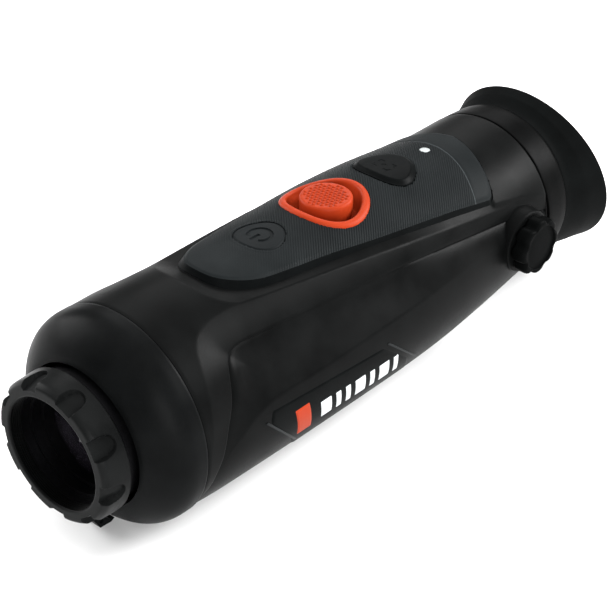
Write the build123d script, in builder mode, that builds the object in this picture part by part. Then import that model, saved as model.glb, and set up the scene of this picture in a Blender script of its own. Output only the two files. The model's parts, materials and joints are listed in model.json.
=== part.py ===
from build123d import *
import os
from math import cos, pi, radians, sin

# A handheld thermal monocular. The optical axis runs along Y: the objective looks towards -Y, the
# eyecup is at +Y, the controls are on top (+Z) and the diopter knob is on the +X side.
# The origin is the mouth of the tripod socket, in the flat belly that the object rests on.
# Lengths are in millimetres. A "station" is the distance behind the front face of the focus ring.

# ---------------------------------------------------------------- driving dimensions
AXIS_HEIGHT = 26.3        # optical axis above the flat belly
SOCKET_STATION = 82.0     # tripod socket behind the front face

# outer skin of the body: station, radius, and how far its centre lies below the optical axis
BODY_SECTIONS = [
    (21.7, 26.05, 0.05),
    (32.0, 26.15, 0.15),
    (48.0, 26.10, 0.60),
    (67.0, 26.10, 0.90),
    (92.0, 26.00, 1.20),
    (111.0, 25.35, 1.35),
    (127.0, 24.00, 1.40),
    (138.0, 23.10, 1.00),
    (150.0, 22.35, 0.05),
]
FRONT_SEAM = 21.7         # front bezel meets the housing
REAR_SEAM = 150.0         # housing meets the eyepiece tube
SHELL_GAP = 0.05          # half of the parting gap between the two shells

# stepped cavity inside the housing: end station and radius, from the front
CAVITY_STEPS = [(29.0, 23.4), (100.0, 21.6), (126.0, 20.4), (151.0, 19.4)]

RING_LENGTH = 7.4
RING_RADIUS = 17.55
RING_BORE = 13.65
RING_NOTCHES = 9
JOURNAL_RADIUS = 14.60
RUNNING_GAP = 0.06        # radial clearance of running fits

TUBE_RADIUS = 16.2
TUBE_BORE = 13.26
CELL_RADIUS = TUBE_BORE - RUNNING_GAP
CELL_START = 5.4
CELL_END = 19.0
LENS_BORE = 12.4
LENS_REST = 14.5          # ledge behind the front lens

SHUTTER_DROP = 13.0       # shutter motor below the optical axis
SHUTTER_SWING = 62.0      # from parked to closed
SHUTTER_ANGLE = radians(90.0 - SHUTTER_SWING)
SENSOR_CIRCLE = 19.2      # radius of the circle of four sensor screws
SENSOR_SCREW = 1.0

PAD_THICKNESS = 2.2
PAD_PROUD = 0.4           # pad above the housing skin
PAD_GAP = 0.15
BUTTON_GAP = 0.25
POWER_STATION = 65.5
POWER_RADIUS = 6.05
CAPTURE_STATION = 109.5
CAPTURE_HALF_WIDTH = 8.3
CAPTURE_HALF_LENGTH = 7.4
JOYSTICK_STATION = 88.3
BEZEL_RADIUS = 10.8
WELL_RADIUS = 8.75
WELL_FLOOR = 18.9         # height above the optical axis
CAP_RADIUS = 6.4
CAP_TOP = 26.4            # height above the optical axis
CAP_HEIGHT = 6.0
PIVOT_HEIGHT = 15.2       # joystick pivot above the optical axis
BASE_OPENING = 3.6        # opening under the joystick core, wider than its tilted corners
LED_STATION = 125.5
LED_RADIUS = 1.3
# windows in the upper housing: station and radius
PAD_WINDOWS = [
    (POWER_STATION, 7.4),
    (JOYSTICK_STATION, BEZEL_RADIUS + 0.2),
    (CAPTURE_STATION, 9.4),
    (LED_STATION, LED_RADIUS + 0.1),
]

BUTTON_TRAVEL = 0.5
CAPTURE_RISE = 1.0        # crown of the capture button above the pad
PIN_RADIUS = 0.6          # pins of the joystick's gimbal
PIN_BORE = 0.65

CHASSIS_RADIUS = 21.2
CHASSIS_FRONT = 43.4
CHASSIS_REAR = 99.6
KEYPAD_TOP = 13.2
BOARD_THICKNESS = 1.2
BOARD_POSTS = [(-7.0, 62.0), (7.0, 62.0), (-7.0, 92.0), (7.0, 92.0)]
BOARD_TOP = 1.6
# chips on the main board: range across, stations, height
CHIPS = [
    ((-6.0, 6.0), (72.0, 84.0), 1.4),
    ((-15.0, -8.0), (66.0, 75.0), 1.0),
    ((9.0, 15.0), (70.0, 80.0), 1.0),
    ((-14.5, -9.5), (82.0, 90.0), 2.2),
    ((9.5, 14.5), (50.0, 56.0), 1.8),
    ((-5.0, 5.0), (47.0, 51.0), 2.0),
]
SWITCH_TOP = 17.0
BATTERY_DROP = 11.4       # below the optical axis
BATTERY_RADIUS = 9.1      # an 18500-size cell
BATTERY_LENGTH = 49.0
BATTERY_START = 47.0

SCREW_STATIONS = (41.6, 101.6)
SCREW_OFFSET = 9.0
SCREW_SEAT = -22.6        # under the heads of the housing screws, above the optical axis

EYE_BARREL_END = 159.4
EYE_BARREL_RADIUS = 21.9
EYE_NOSE_RADIUS = 19.4
EYE_NOSE_END = 162.6
EYE_BORE = 16.06
CARRIAGE_RADIUS = EYE_BORE - RUNNING_GAP
CARRIAGE_START = 131.0
CARRIAGE_END = 157.4
OCULAR_BORE = 14.6
OCULAR_RADIUS = 14.54

# eyecup sections: station, radius and lean
CUP_RIM = (173.2, 24.8, 15.3)
CUP_SKIN = [(EYE_BARREL_END + 0.35, 21.75, 0.0), (165.0, 22.9, 6.5), CUP_RIM]
CUP_HOLLOW = [(163.0, 19.4, 4.0), (167.0, 21.4, 8.0), (173.5, 23.3, 15.3)]
CUP_SEAT_END = 163.5

KNOB_STATION = 138.7
KNOB_RADIUS = 7.8
KNOB_START = 24.3         # distance from the symmetry plane
KNOB_END = 28.3
KNOB_SCALLOPS = 8
COLLAR_RADIUS = 8.6
PINION_PITCH = 2.5        # pitch radius; the rack moves 2.5 mm per radian
PINION_TEETH = 10
SHAFT_RADIUS = 1.5
BUSHING_BORE = 3.0
RACK_TOP = -3.2           # root of the rack's teeth, above the optical axis

TRIPOD_RADIUS = 2.6       # wall radius of the 1/4 inch socket, at the thread's crests
SOCKET_DEPTH = 5.4
INSERT_RADIUS = 4.5
BADGE_OUTLINE = [(41.5, 1.5), (80.5, -1.5), (94.5, -14.5), (54.5, -17.0)]

USB_STATION = 112.0
USB_DROP = 6.0            # below the optical axis
RECESS_FLOOR = -22.8      # floor of the connector cover's recess, across
HINGE_STATION = 103.0
HINGE_X = -24.0
HINGE_PIN = 0.40

# ---------------------------------------------------------------- planes
FRONT = (0.0, -SOCKET_STATION, AXIS_HEIGHT)
# local x runs back along the optical axis, local y points up
SIDE = Plane(origin=FRONT, x_dir=(0, 1, 0), z_dir=(1, 0, 0))
# local x is +X, local y runs back along the optical axis
TOP = Plane(origin=FRONT, x_dir=(1, 0, 0), z_dir=(0, 0, 1))
OPTICAL_AXIS = Axis(FRONT, (0, 1, 0))


def section(station):
    """Cross-section plane at a station: local x is +X, local y is +Z, and the normal points forward."""
    origin = (0.0, station - SOCKET_STATION, AXIS_HEIGHT)
    return Plane(origin=origin, x_dir=(1, 0, 0), z_dir=(0, -1, 0))


def across(distance, station, height=0.0):
    """Plane facing +X at a point: local x is +Y, local y is +Z."""
    origin = (distance, station - SOCKET_STATION, AXIS_HEIGHT + height)
    return Plane(origin=origin, x_dir=(0, 1, 0), z_dir=(1, 0, 0))


def radial(angle):
    """The side plane turned about the optical axis."""
    return SIDE.rotated((angle, 0, 0))


# ---------------------------------------------------------------- helpers used inside a part block
def body_loft(inset, mode=Mode.ADD):
    """The body's outer skin moved inwards by inset, as a solid."""
    profiles = []
    for station, radius, drop in BODY_SECTIONS:
        with BuildSketch(section(station)) as profile:
            with Locations((0, -drop)):
                Circle(radius - inset)
        profiles.append(profile.sketch)
    loft(profiles, mode=mode)


def ring(start, end, outer, inner, mode=Mode.ADD):
    """A plain tube on the optical axis."""
    with BuildSketch(section(start)) as profile:
        Circle(outer)
        if inner > 0:
            Circle(inner, mode=Mode.SUBTRACT)
    extrude(profile.sketch, amount=start - end, mode=mode)


def plate(start, end, width, height, centre=(0.0, 0.0), mode=Mode.ADD):
    """A rectangular plate across the optical axis."""
    with BuildSketch(section(start)) as profile:
        with Locations(centre):
            Rectangle(width, height)
    extrude(profile.sketch, amount=start - end, mode=mode)


def block(x_range, stations, heights, mode=Mode.ADD):
    """A box given by its ranges: across, along the stations, and above the optical axis."""
    with BuildSketch(TOP.offset(heights[0])) as profile:
        with Locations(((x_range[0] + x_range[1]) / 2, (stations[0] + stations[1]) / 2)):
            Rectangle(x_range[1] - x_range[0], stations[1] - stations[0])
    extrude(profile.sketch, amount=heights[1] - heights[0], mode=mode)


def post(x, station, low, high, radius, mode=Mode.ADD):
    """An upright cylinder between two heights above the optical axis."""
    with BuildSketch(TOP.offset(low)) as profile:
        with Locations((x, station)):
            Circle(radius)
    extrude(profile.sketch, amount=high - low, mode=mode)


def side_rod(x_start, x_end, station, height, radius, mode=Mode.ADD):
    """A cylinder along X."""
    with BuildSketch(across(x_start, station, height)) as profile:
        Circle(radius)
    extrude(profile.sketch, amount=x_end - x_start, mode=mode)


def cavity(mode=Mode.SUBTRACT):
    """The stepped round cavity of the housing."""
    start = FRONT_SEAM - 1.0
    for end, radius in CAVITY_STEPS:
        ring(start, end, radius, 0.0, mode=mode)
        start = end


def pad_outline(grow):
    """Plan outline of the control pad: round at the objective end, wider and arched at the rear."""
    front = (0, 46.7 - grow)
    shoulder = (10.4 + grow, 56.0)
    corner = (18.4 + grow, 129.6 + grow)
    rear = (0, 137.0 + grow)
    with BuildSketch(TOP) as outline:
        with BuildLine():
            nose = Spline(front, (6.6 + grow * 0.8, 49.2 - grow * 0.6), shoulder,
                          tangents=((1, 0), (0.18, 1)))
            flank = Spline(nose @ 1, (14.8 + grow, 91.0), corner, tangents=((0.18, 1), (0.02, 1)))
            Spline(flank @ 1, (10.8, 134.9 + grow), rear, tangents=((-1.2, 0.55), (-1, 0)))
            mirror(about=Plane.YZ)
        make_face()
    return outline.sketch


def lower_region(grow, mode):
    """Everything below the crease, as a prism across the body."""
    with BuildSketch(SIDE) as profile:
        with BuildLine():
            seam_point = (FRONT_SEAM - 1.0, -16.5 + grow)
            leg = Spline(seam_point, (26.2 - grow, -2.8), (30.2 - grow, 8.0), (34.8 - grow, 15.2))
            knee = (39.4 - grow, 17.0 + grow)
            shoulder = Line(leg @ 1, knee)
            top = Spline(shoulder @ 1, (66.7, 15.3 + grow), (90.0, 13.8 + grow), (128.5, 8.2 + grow),
                         (REAR_SEAM + 1.0, 2.6 + grow))
            Polyline(top @ 1, (REAR_SEAM + 1.0, -32.0), (FRONT_SEAM - 1.0, -32.0), seam_point)
        make_face()
    extrude(profile.sketch, amount=40.0, both=True, mode=mode)


def connector_block(x_range, start, end, half_height, mode=Mode.ADD):
    """A box around the connector; start and end are counted from its station."""
    stations = (USB_STATION + start, USB_STATION + end)
    block(x_range, stations, (-USB_DROP - half_height, -USB_DROP + half_height), mode=mode)


def hinge_rod(half_length, radius, mode=Mode.ADD):
    """An upright rod on the hinge line of the connector's cover."""
    post(HINGE_X, HINGE_STATION, -USB_DROP - half_length, -USB_DROP + half_length, radius, mode=mode)


def badge(side):
    """Long plate with slanted ends that lies on the lower flank; side is 1 for +X and -1 for -X."""
    with BuildSketch(SIDE) as profile:
        Polygon(*BADGE_OUTLINE, align=None)
    extrude(profile.sketch, amount=side * 40.0)
    body_loft(-0.3, mode=Mode.INTERSECT)
    body_loft(-0.02, mode=Mode.SUBTRACT)


def capture_prism(low, high, grow, mode=Mode.ADD):
    """The capture button's outline as an upright prism."""
    with BuildSketch(TOP.offset(low)) as profile:
        with Locations((0, CAPTURE_STATION)):
            Ellipse(CAPTURE_HALF_WIDTH + grow, CAPTURE_HALF_LENGTH + grow)
    extrude(profile.sketch, amount=high - low, mode=mode)


def stick_block(half_size, heights, mode=Mode.ADD):
    """A square block around the joystick's axis."""
    stations = (JOYSTICK_STATION - half_size, JOYSTICK_STATION + half_size)
    block((-half_size, half_size), stations, heights, mode=mode)


def cup_loft(stations, mode=Mode.ADD):
    """A flaring solid through round sections that lean so that their lower edges lie further back."""
    profiles = []
    for station, radius, lean in stations:
        with BuildSketch(section(station).rotated((-lean, 0, 0))) as profile:
            Circle(radius)
        profiles.append(profile.sketch)
    loft(profiles, mode=mode)


def save(part, name):
    part.label = name
    export_step(part, f"parts/{name}.step")


os.makedirs("parts", exist_ok=True)

# ================================================================ objective end
with BuildPart() as front_bezel:
    with BuildSketch(SIDE):
        with BuildLine():
            rim = (9.4, 17.45)
            dome = Spline(rim, (9.9, 20.4), (11.5, 23.2), (14.0, 25.1), (17.6, 26.02), (FRONT_SEAM, 26.08))
            Polyline(dome @ 1, (FRONT_SEAM, 23.3), (26.4, 23.3), (26.4, 21.7), (17.5, 21.7),
                     (13.2, 20.4), (12.4, 17.45), rim)
        make_face()
    revolve(axis=OPTICAL_AXIS)
    # groove for the O-ring
    ring(23.2, 24.6, 23.6, 22.1, mode=Mode.SUBTRACT)
save(front_bezel.part, "front_bezel")

with BuildPart() as front_seal:
    with BuildSketch(SIDE):
        with Locations((23.9, 22.7)):
            Circle(0.58)
    revolve(axis=OPTICAL_AXIS)
save(front_seal.part, "front_seal")

with BuildPart() as focus_ring:
    with BuildSketch(SIDE):
        with BuildLine():
            Polyline((0, RING_BORE + 0.3), (0.25, RING_BORE), (2.6, RING_BORE),
                     (2.6, JOURNAL_RADIUS + RUNNING_GAP), (RING_LENGTH, JOURNAL_RADIUS + RUNNING_GAP),
                     (RING_LENGTH, RING_RADIUS - 0.5), (RING_LENGTH - 0.5, RING_RADIUS),
                     (1.2, RING_RADIUS - 0.25), (0.25, RING_RADIUS - 0.95),
                     (0, RING_RADIUS - 1.2), (0, RING_BORE + 0.3))
        make_face()
    revolve(axis=OPTICAL_AXIS)
    for notch in range(RING_NOTCHES):
        # each notch is open at the front and its floor rises to the rim near the back
        with BuildSketch(radial(20.0 + 360.0 / RING_NOTCHES * notch)):
            Polygon((-1.0, 15.2), (5.4, RING_RADIUS), (5.4, 20.0), (-1.0, 20.0), align=None)
        extrude(amount=2.9, both=True, mode=Mode.SUBTRACT)
    for groove in range(3):
        start = 0.7 + 0.6 * groove
        ring(start, start + 0.3, RING_BORE + 0.25, 0.0, mode=Mode.SUBTRACT)
save(focus_ring.part, "focus_ring")

with BuildPart() as lens_tube:
    ring(3.2, 7.8, JOURNAL_RADIUS, 0.0)
    ring(7.8, 28.9, TUBE_RADIUS, 0.0)
    ring(3.2, 24.0, TUBE_BORE, 0.0, mode=Mode.SUBTRACT)
    ring(24.0, 28.9, 10.0, 0.0, mode=Mode.SUBTRACT)
save(lens_tube.part, "lens_tube")

with BuildPart() as lens_cell:
    ring(CELL_START, CELL_END, CELL_RADIUS, 0.0)
    ring(CELL_START, LENS_REST, LENS_BORE, 0.0, mode=Mode.SUBTRACT)
    ring(LENS_REST, LENS_REST + 0.5, 8.6, 0.0, mode=Mode.SUBTRACT)
    ring(LENS_REST + 0.5, CELL_END, 9.6, 0.0, mode=Mode.SUBTRACT)
save(lens_cell.part, "lens_cell")

with BuildPart() as objective_retainer:
    ring(8.0, 10.5, LENS_BORE - 0.05, 11.4)
save(objective_retainer.part, "objective_retainer")

with BuildPart() as objective_front_lens:
    with BuildSketch(SIDE):
        with BuildLine():
            front = TangentArc((8.0, 0), (11.0, LENS_BORE - 0.1), tangent=(0, 1))
            back = TangentArc((12.0, 0), (LENS_REST, 8.5), tangent=(0, 1))
            Polyline(front @ 1, (LENS_REST, LENS_BORE - 0.1), back @ 1)
            Line(back @ 0, front @ 0)
        make_face()
    revolve(axis=OPTICAL_AXIS)
save(objective_front_lens.part, "objective_front_lens")

with BuildPart() as objective_rear_lens:
    with BuildSketch(SIDE):
        with BuildLine():
            back = TangentArc((18.9, 0), (17.4, 9.5), tangent=(0, 1))
            Polyline(back @ 0, (15.0, 0), (15.0, 9.5), back @ 1)
        make_face()
    revolve(axis=OPTICAL_AXIS)
save(objective_rear_lens.part, "objective_rear_lens")

with BuildPart() as lens_flange:
    ring(26.6, 28.9, 23.25, TUBE_RADIUS + 0.05)
    with BuildSketch(section(26.0)):
        with PolarLocations(SENSOR_CIRCLE, 4):
            Circle(1.1)
    extrude(amount=-4.0, mode=Mode.SUBTRACT)
save(lens_flange.part, "lens_flange")

with BuildPart() as cap_lug:
    with BuildSketch(SIDE):
        with BuildLine():
            Polyline((8.8, -23.3), (10.1, -25.6), (13.4, -25.8), (14.4, -25.25), (13.0, -24.7),
                     (11.2, -23.2), (10.4, -21.9), (8.8, -23.3))
        make_face()
    extrude(amount=2.2, both=True)
    with BuildSketch(SIDE):
        with Locations((10.6, -24.0)):
            Circle(0.6)
    extrude(amount=5.0, both=True, mode=Mode.SUBTRACT)
    # sit on the bezel's dome
    add(front_bezel.part, mode=Mode.SUBTRACT)
save(cap_lug.part, "cap_lug")

with BuildPart() as shutter_frame:
    ring(30.2, 31.4, 15.4, 5.2)
    # one-sided cheek that carries the motor, clear of the flag's sweep
    block((-4.6, -3.25), (31.4, 36.0), (-16.4, -9.6))
save(shutter_frame.part, "shutter_frame")

with BuildPart() as shutter_flag:
    reach_x = SHUTTER_DROP * cos(SHUTTER_ANGLE)
    reach_y = SHUTTER_DROP * sin(SHUTTER_ANGLE)
    with BuildSketch(section(31.8)):
        with Locations((0, -SHUTTER_DROP)):
            Circle(1.7)
        with Locations((reach_x, reach_y - SHUTTER_DROP)):
            Circle(5.7)
        with Locations(Location((reach_x / 2, reach_y / 2 - SHUTTER_DROP), 90.0 - SHUTTER_SWING)):
            Rectangle(SHUTTER_DROP, 2.4)
        with Locations((0, -SHUTTER_DROP)):
            Circle(0.56, mode=Mode.SUBTRACT)
    extrude(amount=-0.5)
save(shutter_flag.part, "shutter_flag")

with BuildPart() as shutter_motor:
    with BuildSketch(section(32.8)):
        with Locations((0, -SHUTTER_DROP)):
            Circle(3.2)
    extrude(amount=-8.0)
    with BuildSketch(section(31.5)):
        with Locations((0, -SHUTTER_DROP)):
            Circle(0.5)
    extrude(amount=-1.3)
save(shutter_motor.part, "shutter_motor")

with BuildPart() as detector:
    plate(35.2, 40.0, 14.0, 14.0, (0, 1.5))
    plate(34.6, 35.2, 11.0, 11.0, (0, 1.5))
save(detector.part, "detector")

with BuildPart() as sensor_board:
    plate(40.0, 41.2, 32.0, 25.0, (0, 4.1))
    ring(40.0, 41.2, CHASSIS_RADIUS, 0.0, mode=Mode.INTERSECT)
save(sensor_board.part, "sensor_board")

with BuildPart() as sensor_standoffs:
    with BuildSketch(section(28.9)):
        with PolarLocations(SENSOR_CIRCLE, 4):
            Circle(2.0)
            Circle(1.1, mode=Mode.SUBTRACT)
    extrude(amount=-14.5)
save(sensor_standoffs.part, "sensor_standoffs")

with BuildPart() as sensor_screws:
    with BuildSketch(section(26.6)):
        with PolarLocations(SENSOR_CIRCLE, 4):
            Circle(SENSOR_SCREW)
    extrude(amount=-18.4)
    with BuildSketch(section(25.2)):
        with PolarLocations(SENSOR_CIRCLE, 4):
            Circle(1.9)
            RegularPolygon(0.9, 6, mode=Mode.SUBTRACT)
    extrude(amount=-1.4)
save(sensor_screws.part, "sensor_screws")

# ================================================================ housing
with BuildPart() as pad_recess:
    extrude(pad_outline(PAD_GAP), amount=40.0)
    body_loft(PAD_THICKNESS - PAD_PROUD, mode=Mode.SUBTRACT)

with BuildPart() as upper_housing:
    body_loft(0.0)
    cavity()
    add(pad_recess.part, mode=Mode.SUBTRACT)
    # windows under the pad for the buttons, the joystick well and the lamp
    for station, radius in PAD_WINDOWS:
        post(0, station, 10.0, 30.0, radius, mode=Mode.SUBTRACT)
    lower_region(SHELL_GAP, Mode.SUBTRACT)
save(upper_housing.part, "upper_housing")

with BuildPart() as lower_housing:
    body_loft(0.0)
    # collar that carries the diopter knob
    side_rod(12.0, KNOB_START - 0.3, KNOB_STATION, 0.0, COLLAR_RADIUS)
    lower_region(-SHELL_GAP, Mode.INTERSECT)
    cavity()
    # boss around the tripod insert
    post(0, SOCKET_STATION, -AXIS_HEIGHT, SOCKET_DEPTH - AXIS_HEIGHT, 6.6)
    # flat belly
    block((-30, 30), (0, 180), (-40.0, -AXIS_HEIGHT), mode=Mode.SUBTRACT)
    post(0, SOCKET_STATION, -AXIS_HEIGHT - 1, SOCKET_DEPTH - AXIS_HEIGHT, INSERT_RADIUS, mode=Mode.SUBTRACT)
    # bore for the diopter bushing
    side_rod(12.0, 30.0, KNOB_STATION, 0.0, BUSHING_BORE, mode=Mode.SUBTRACT)
    # recess for the connector cover, and the slot for the connector
    connector_block((-27.0, RECESS_FLOOR), HINGE_STATION - USB_STATION - 2.1, 10.2, 5.2, mode=Mode.SUBTRACT)
    connector_block((-27.0, -12.0), -4.6, 4.6, 1.7, mode=Mode.SUBTRACT)
    # countersunk screw holes
    for station in SCREW_STATIONS:
        for x in (-SCREW_OFFSET, SCREW_OFFSET):
            post(x, station, -40.0, -10.0, 1.1, mode=Mode.SUBTRACT)
            post(x, station, -40.0, SCREW_SEAT, 2.1, mode=Mode.SUBTRACT)
save(lower_housing.part, "lower_housing")

with BuildPart() as housing_screws:
    for station in SCREW_STATIONS:
        for x in (-SCREW_OFFSET, SCREW_OFFSET):
            post(x, station, SCREW_SEAT, -13.6, 1.0)
            post(x, station, SCREW_SEAT - 1.2, SCREW_SEAT, 1.9)
            post(x, station, SCREW_SEAT - 1.4, SCREW_SEAT - 0.6, 0.8, mode=Mode.SUBTRACT)
save(housing_screws.part, "housing_screws")

with BuildPart() as tripod_insert:
    post(0, SOCKET_STATION, -AXIS_HEIGHT, SOCKET_DEPTH - AXIS_HEIGHT, INSERT_RADIUS)
    post(0, SOCKET_STATION, -AXIS_HEIGHT, SOCKET_DEPTH - AXIS_HEIGHT - 0.4, TRIPOD_RADIUS, mode=Mode.SUBTRACT)
save(tripod_insert.part, "tripod_insert")

with BuildPart() as badge_left:
    badge(1)
save(badge_left.part, "badge_left")

with BuildPart() as badge_right:
    badge(-1)
save(badge_right.part, "badge_right")

# ================================================================ connector and its cover
with BuildPart() as usb_port:
    connector_block((-22.5, -15.4), -4.5, 4.5, 1.6)
    connector_block((-23.0, -16.2), -4.1, 4.1, 1.2, mode=Mode.SUBTRACT)
    connector_block((-22.2, -16.2), -3.3, 3.3, 0.35)
save(usb_port.part, "usb_port")

with BuildPart() as usb_cover:
    connector_block((-27.0, RECESS_FLOOR - 0.15), HINGE_STATION - USB_STATION + 0.9, 9.9, 4.8)
    body_loft(0.0, mode=Mode.INTERSECT)
    # knuckle, and the web that joins it to the cover
    hinge_rod(3.0, 0.9)
    connector_block((HINGE_X - 0.6, HINGE_X + 0.4), HINGE_STATION - USB_STATION + 0.3, -7.7, 3.0)
    hinge_rod(5.0, HINGE_PIN + 0.05, mode=Mode.SUBTRACT)
save(usb_cover.part, "usb_cover")

with BuildPart() as usb_hinge_pin:
    hinge_rod(5.2, HINGE_PIN)
save(usb_hinge_pin.part, "usb_hinge_pin")

# ================================================================ electronics
with BuildPart() as battery_cell:
    with BuildSketch(section(BATTERY_START)):
        with Locations((0, -BATTERY_DROP)):
            Circle(BATTERY_RADIUS)
    extrude(amount=-BATTERY_LENGTH)
    fillet(battery_cell.edges(), radius=0.8)
    with BuildSketch(section(BATTERY_START - 0.8)):
        with Locations((0, -BATTERY_DROP)):
            Circle(2.8)
    extrude(amount=-0.8)
save(battery_cell.part, "battery_cell")

with BuildPart() as chassis:
    ring(CHASSIS_FRONT, 45.0, CHASSIS_RADIUS, 0.0)
    ring(98.0, CHASSIS_REAR, CHASSIS_RADIUS, 0.0)
    block((-18.0, 18.0), (45.0, 98.0), (-2.0, -0.8))
    # cable slots above the plate, and room for the keypad board at the rear
    block((-8.0, 8.0), (40.0, 46.0), (2.0, 9.0), mode=Mode.SUBTRACT)
    block((-8.0, 8.0), (97.0, 101.0), (2.0, 6.0), mode=Mode.SUBTRACT)
    block((-9.4, 9.4), (97.0, 101.0), (11.6, 25.0), mode=Mode.SUBTRACT)
    for x, station in BOARD_POSTS:
        post(x, station, -0.8, KEYPAD_TOP - BOARD_THICKNESS, 1.5)
    # bosses for the housing screws
    for x in (-SCREW_OFFSET, SCREW_OFFSET):
        block((x - 2.0, x + 2.0), (CHASSIS_FRONT - 3.6, CHASSIS_FRONT), (-16.8, -12.0))
        block((x - 2.0, x + 2.0), (CHASSIS_REAR, CHASSIS_REAR + 3.8), (-16.8, -12.0))
        for station in SCREW_STATIONS:
            post(x, station, -18.0, -13.4, 1.02, mode=Mode.SUBTRACT)
    with BuildSketch(section(43.0)):
        with PolarLocations(SENSOR_CIRCLE, 4):
            Circle(1.02)
    extrude(amount=-3.0, mode=Mode.SUBTRACT)
save(chassis.part, "chassis")

with BuildPart() as battery_clips:
    for start in (45.0, 96.9):
        plate(start, start + 1.1, 10.0, 7.0, (0, -BATTERY_DROP))
save(battery_clips.part, "battery_clips")

with BuildPart() as main_board:
    block((-17.0, 17.0), (46.0, 97.0), (BOARD_TOP - BOARD_THICKNESS, BOARD_TOP))
    for x, station in BOARD_POSTS:
        post(x, station, 0.0, 2.0, 1.7, mode=Mode.SUBTRACT)
save(main_board.part, "main_board")

with BuildPart() as board_chips:
    for x_range, stations, height in CHIPS:
        block(x_range, stations, (BOARD_TOP, BOARD_TOP + height))
save(board_chips.part, "board_chips")

with BuildPart() as keypad_board:
    block((-8.5, 8.5), (57.0, 119.0), (KEYPAD_TOP - BOARD_THICKNESS, KEYPAD_TOP))
save(keypad_board.part, "keypad_board")

with BuildPart() as tact_switches:
    for station in (POWER_STATION, CAPTURE_STATION):
        block((-3.0, 3.0), (station - 3.0, station + 3.0), (KEYPAD_TOP, SWITCH_TOP - 0.6))
        post(0, station, SWITCH_TOP - 0.6, SWITCH_TOP, 1.6)
save(tact_switches.part, "tact_switches")

with BuildPart() as led_lens:
    post(0, LED_STATION, 20.5, 30.0, LED_RADIUS)
    body_loft(-PAD_PROUD, mode=Mode.INTERSECT)
save(led_lens.part, "led_lens")

# ================================================================ controls
with BuildPart() as control_pad:
    extrude(pad_outline(0.0), amount=40.0)
    body_loft(-PAD_PROUD, mode=Mode.INTERSECT)
    body_loft(PAD_THICKNESS - PAD_PROUD, mode=Mode.SUBTRACT)
    post(0, POWER_STATION, 10.0, 30.0, POWER_RADIUS + BUTTON_GAP, mode=Mode.SUBTRACT)
    post(0, JOYSTICK_STATION, 10.0, 30.0, BEZEL_RADIUS + 0.05, mode=Mode.SUBTRACT)
    post(0, LED_STATION, 10.0, 30.0, LED_RADIUS + 0.05, mode=Mode.SUBTRACT)
    capture_prism(10.0, 40.0, BUTTON_GAP, mode=Mode.SUBTRACT)
save(control_pad.part, "control_pad")

with BuildPart() as power_button:
    post(0, POWER_STATION, 20.6, 30.0, POWER_RADIUS)
    body_loft(-PAD_PROUD, mode=Mode.INTERSECT)
    post(0, POWER_STATION, 20.6, 21.9, POWER_RADIUS + 0.9)
    post(0, POWER_STATION, SWITCH_TOP + BUTTON_TRAVEL + 0.1, 20.6, 1.8)
save(power_button.part, "power_button")

with BuildPart() as capture_button:
    capture_prism(19.2, 39.2, 0.0)
    body_loft(-PAD_PROUD - CAPTURE_RISE, mode=Mode.INTERSECT)
    capture_prism(18.4, 19.6, 0.6)
    post(0, CAPTURE_STATION, SWITCH_TOP + BUTTON_TRAVEL + 0.1, 18.4, 1.8)
save(capture_button.part, "capture_button")

with BuildPart() as joystick_bezel:
    post(0, JOYSTICK_STATION, 17.6, 30.0, BEZEL_RADIUS)
    body_loft(-PAD_PROUD - 0.5, mode=Mode.INTERSECT)
    post(0, JOYSTICK_STATION, WELL_FLOOR, 30.0, WELL_RADIUS, mode=Mode.SUBTRACT)
    post(0, JOYSTICK_STATION, 17.0, 30.0, 3.6, mode=Mode.SUBTRACT)
save(joystick_bezel.part, "joystick_bezel")

with BuildPart() as joystick_cap:
    post(0, JOYSTICK_STATION, CAP_TOP - CAP_HEIGHT, CAP_TOP - 0.3, CAP_RADIUS)
    fillet(joystick_cap.faces().sort_by(Axis.Z)[-1].edges(), radius=0.6)
    # field of small pips on the thumb face
    with BuildSketch(TOP.offset(CAP_TOP - 0.5)):
        with Locations((0, JOYSTICK_STATION)):
            with GridLocations(1.25, 1.25, 7, 7):
                Circle(0.38)
            Circle(5.1, mode=Mode.INTERSECT)
    extrude(amount=0.5)
    post(0, JOYSTICK_STATION, CAP_TOP - CAP_HEIGHT - 1.0, CAP_TOP - 2.5, 1.25, mode=Mode.SUBTRACT)
save(joystick_cap.part, "joystick_cap")

with BuildPart() as joystick_stem:
    post(0, JOYSTICK_STATION, PIVOT_HEIGHT - 1.0, CAP_TOP - 2.5, 1.2)
save(joystick_stem.part, "joystick_stem")

with BuildPart() as joystick_core:
    stick_block(2.2, (PIVOT_HEIGHT - 1.2, PIVOT_HEIGHT + 1.2))
    post(0, JOYSTICK_STATION, 10.0, 20.0, 1.25, mode=Mode.SUBTRACT)
    for start in (JOYSTICK_STATION - 3.9, JOYSTICK_STATION + 2.0):
        with BuildSketch(section(start)):
            with Locations((0, PIVOT_HEIGHT)):
                Circle(PIN_RADIUS)
        extrude(amount=-1.9)
save(joystick_core.part, "joystick_core")

with BuildPart() as joystick_gimbal:
    stick_block(4.4, (PIVOT_HEIGHT - 1.1, PIVOT_HEIGHT + 1.1))
    stick_block(2.9, (PIVOT_HEIGHT - 2, PIVOT_HEIGHT + 2), mode=Mode.SUBTRACT)
    with BuildSketch(section(JOYSTICK_STATION - 6.0)):
        with Locations((0, PIVOT_HEIGHT)):
            Circle(PIN_BORE)
    extrude(amount=-12.0, mode=Mode.SUBTRACT)
    for start in (-5.9, 4.2):
        side_rod(start, start + 1.7, JOYSTICK_STATION, PIVOT_HEIGHT, PIN_RADIUS)
save(joystick_gimbal.part, "joystick_gimbal")

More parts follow.
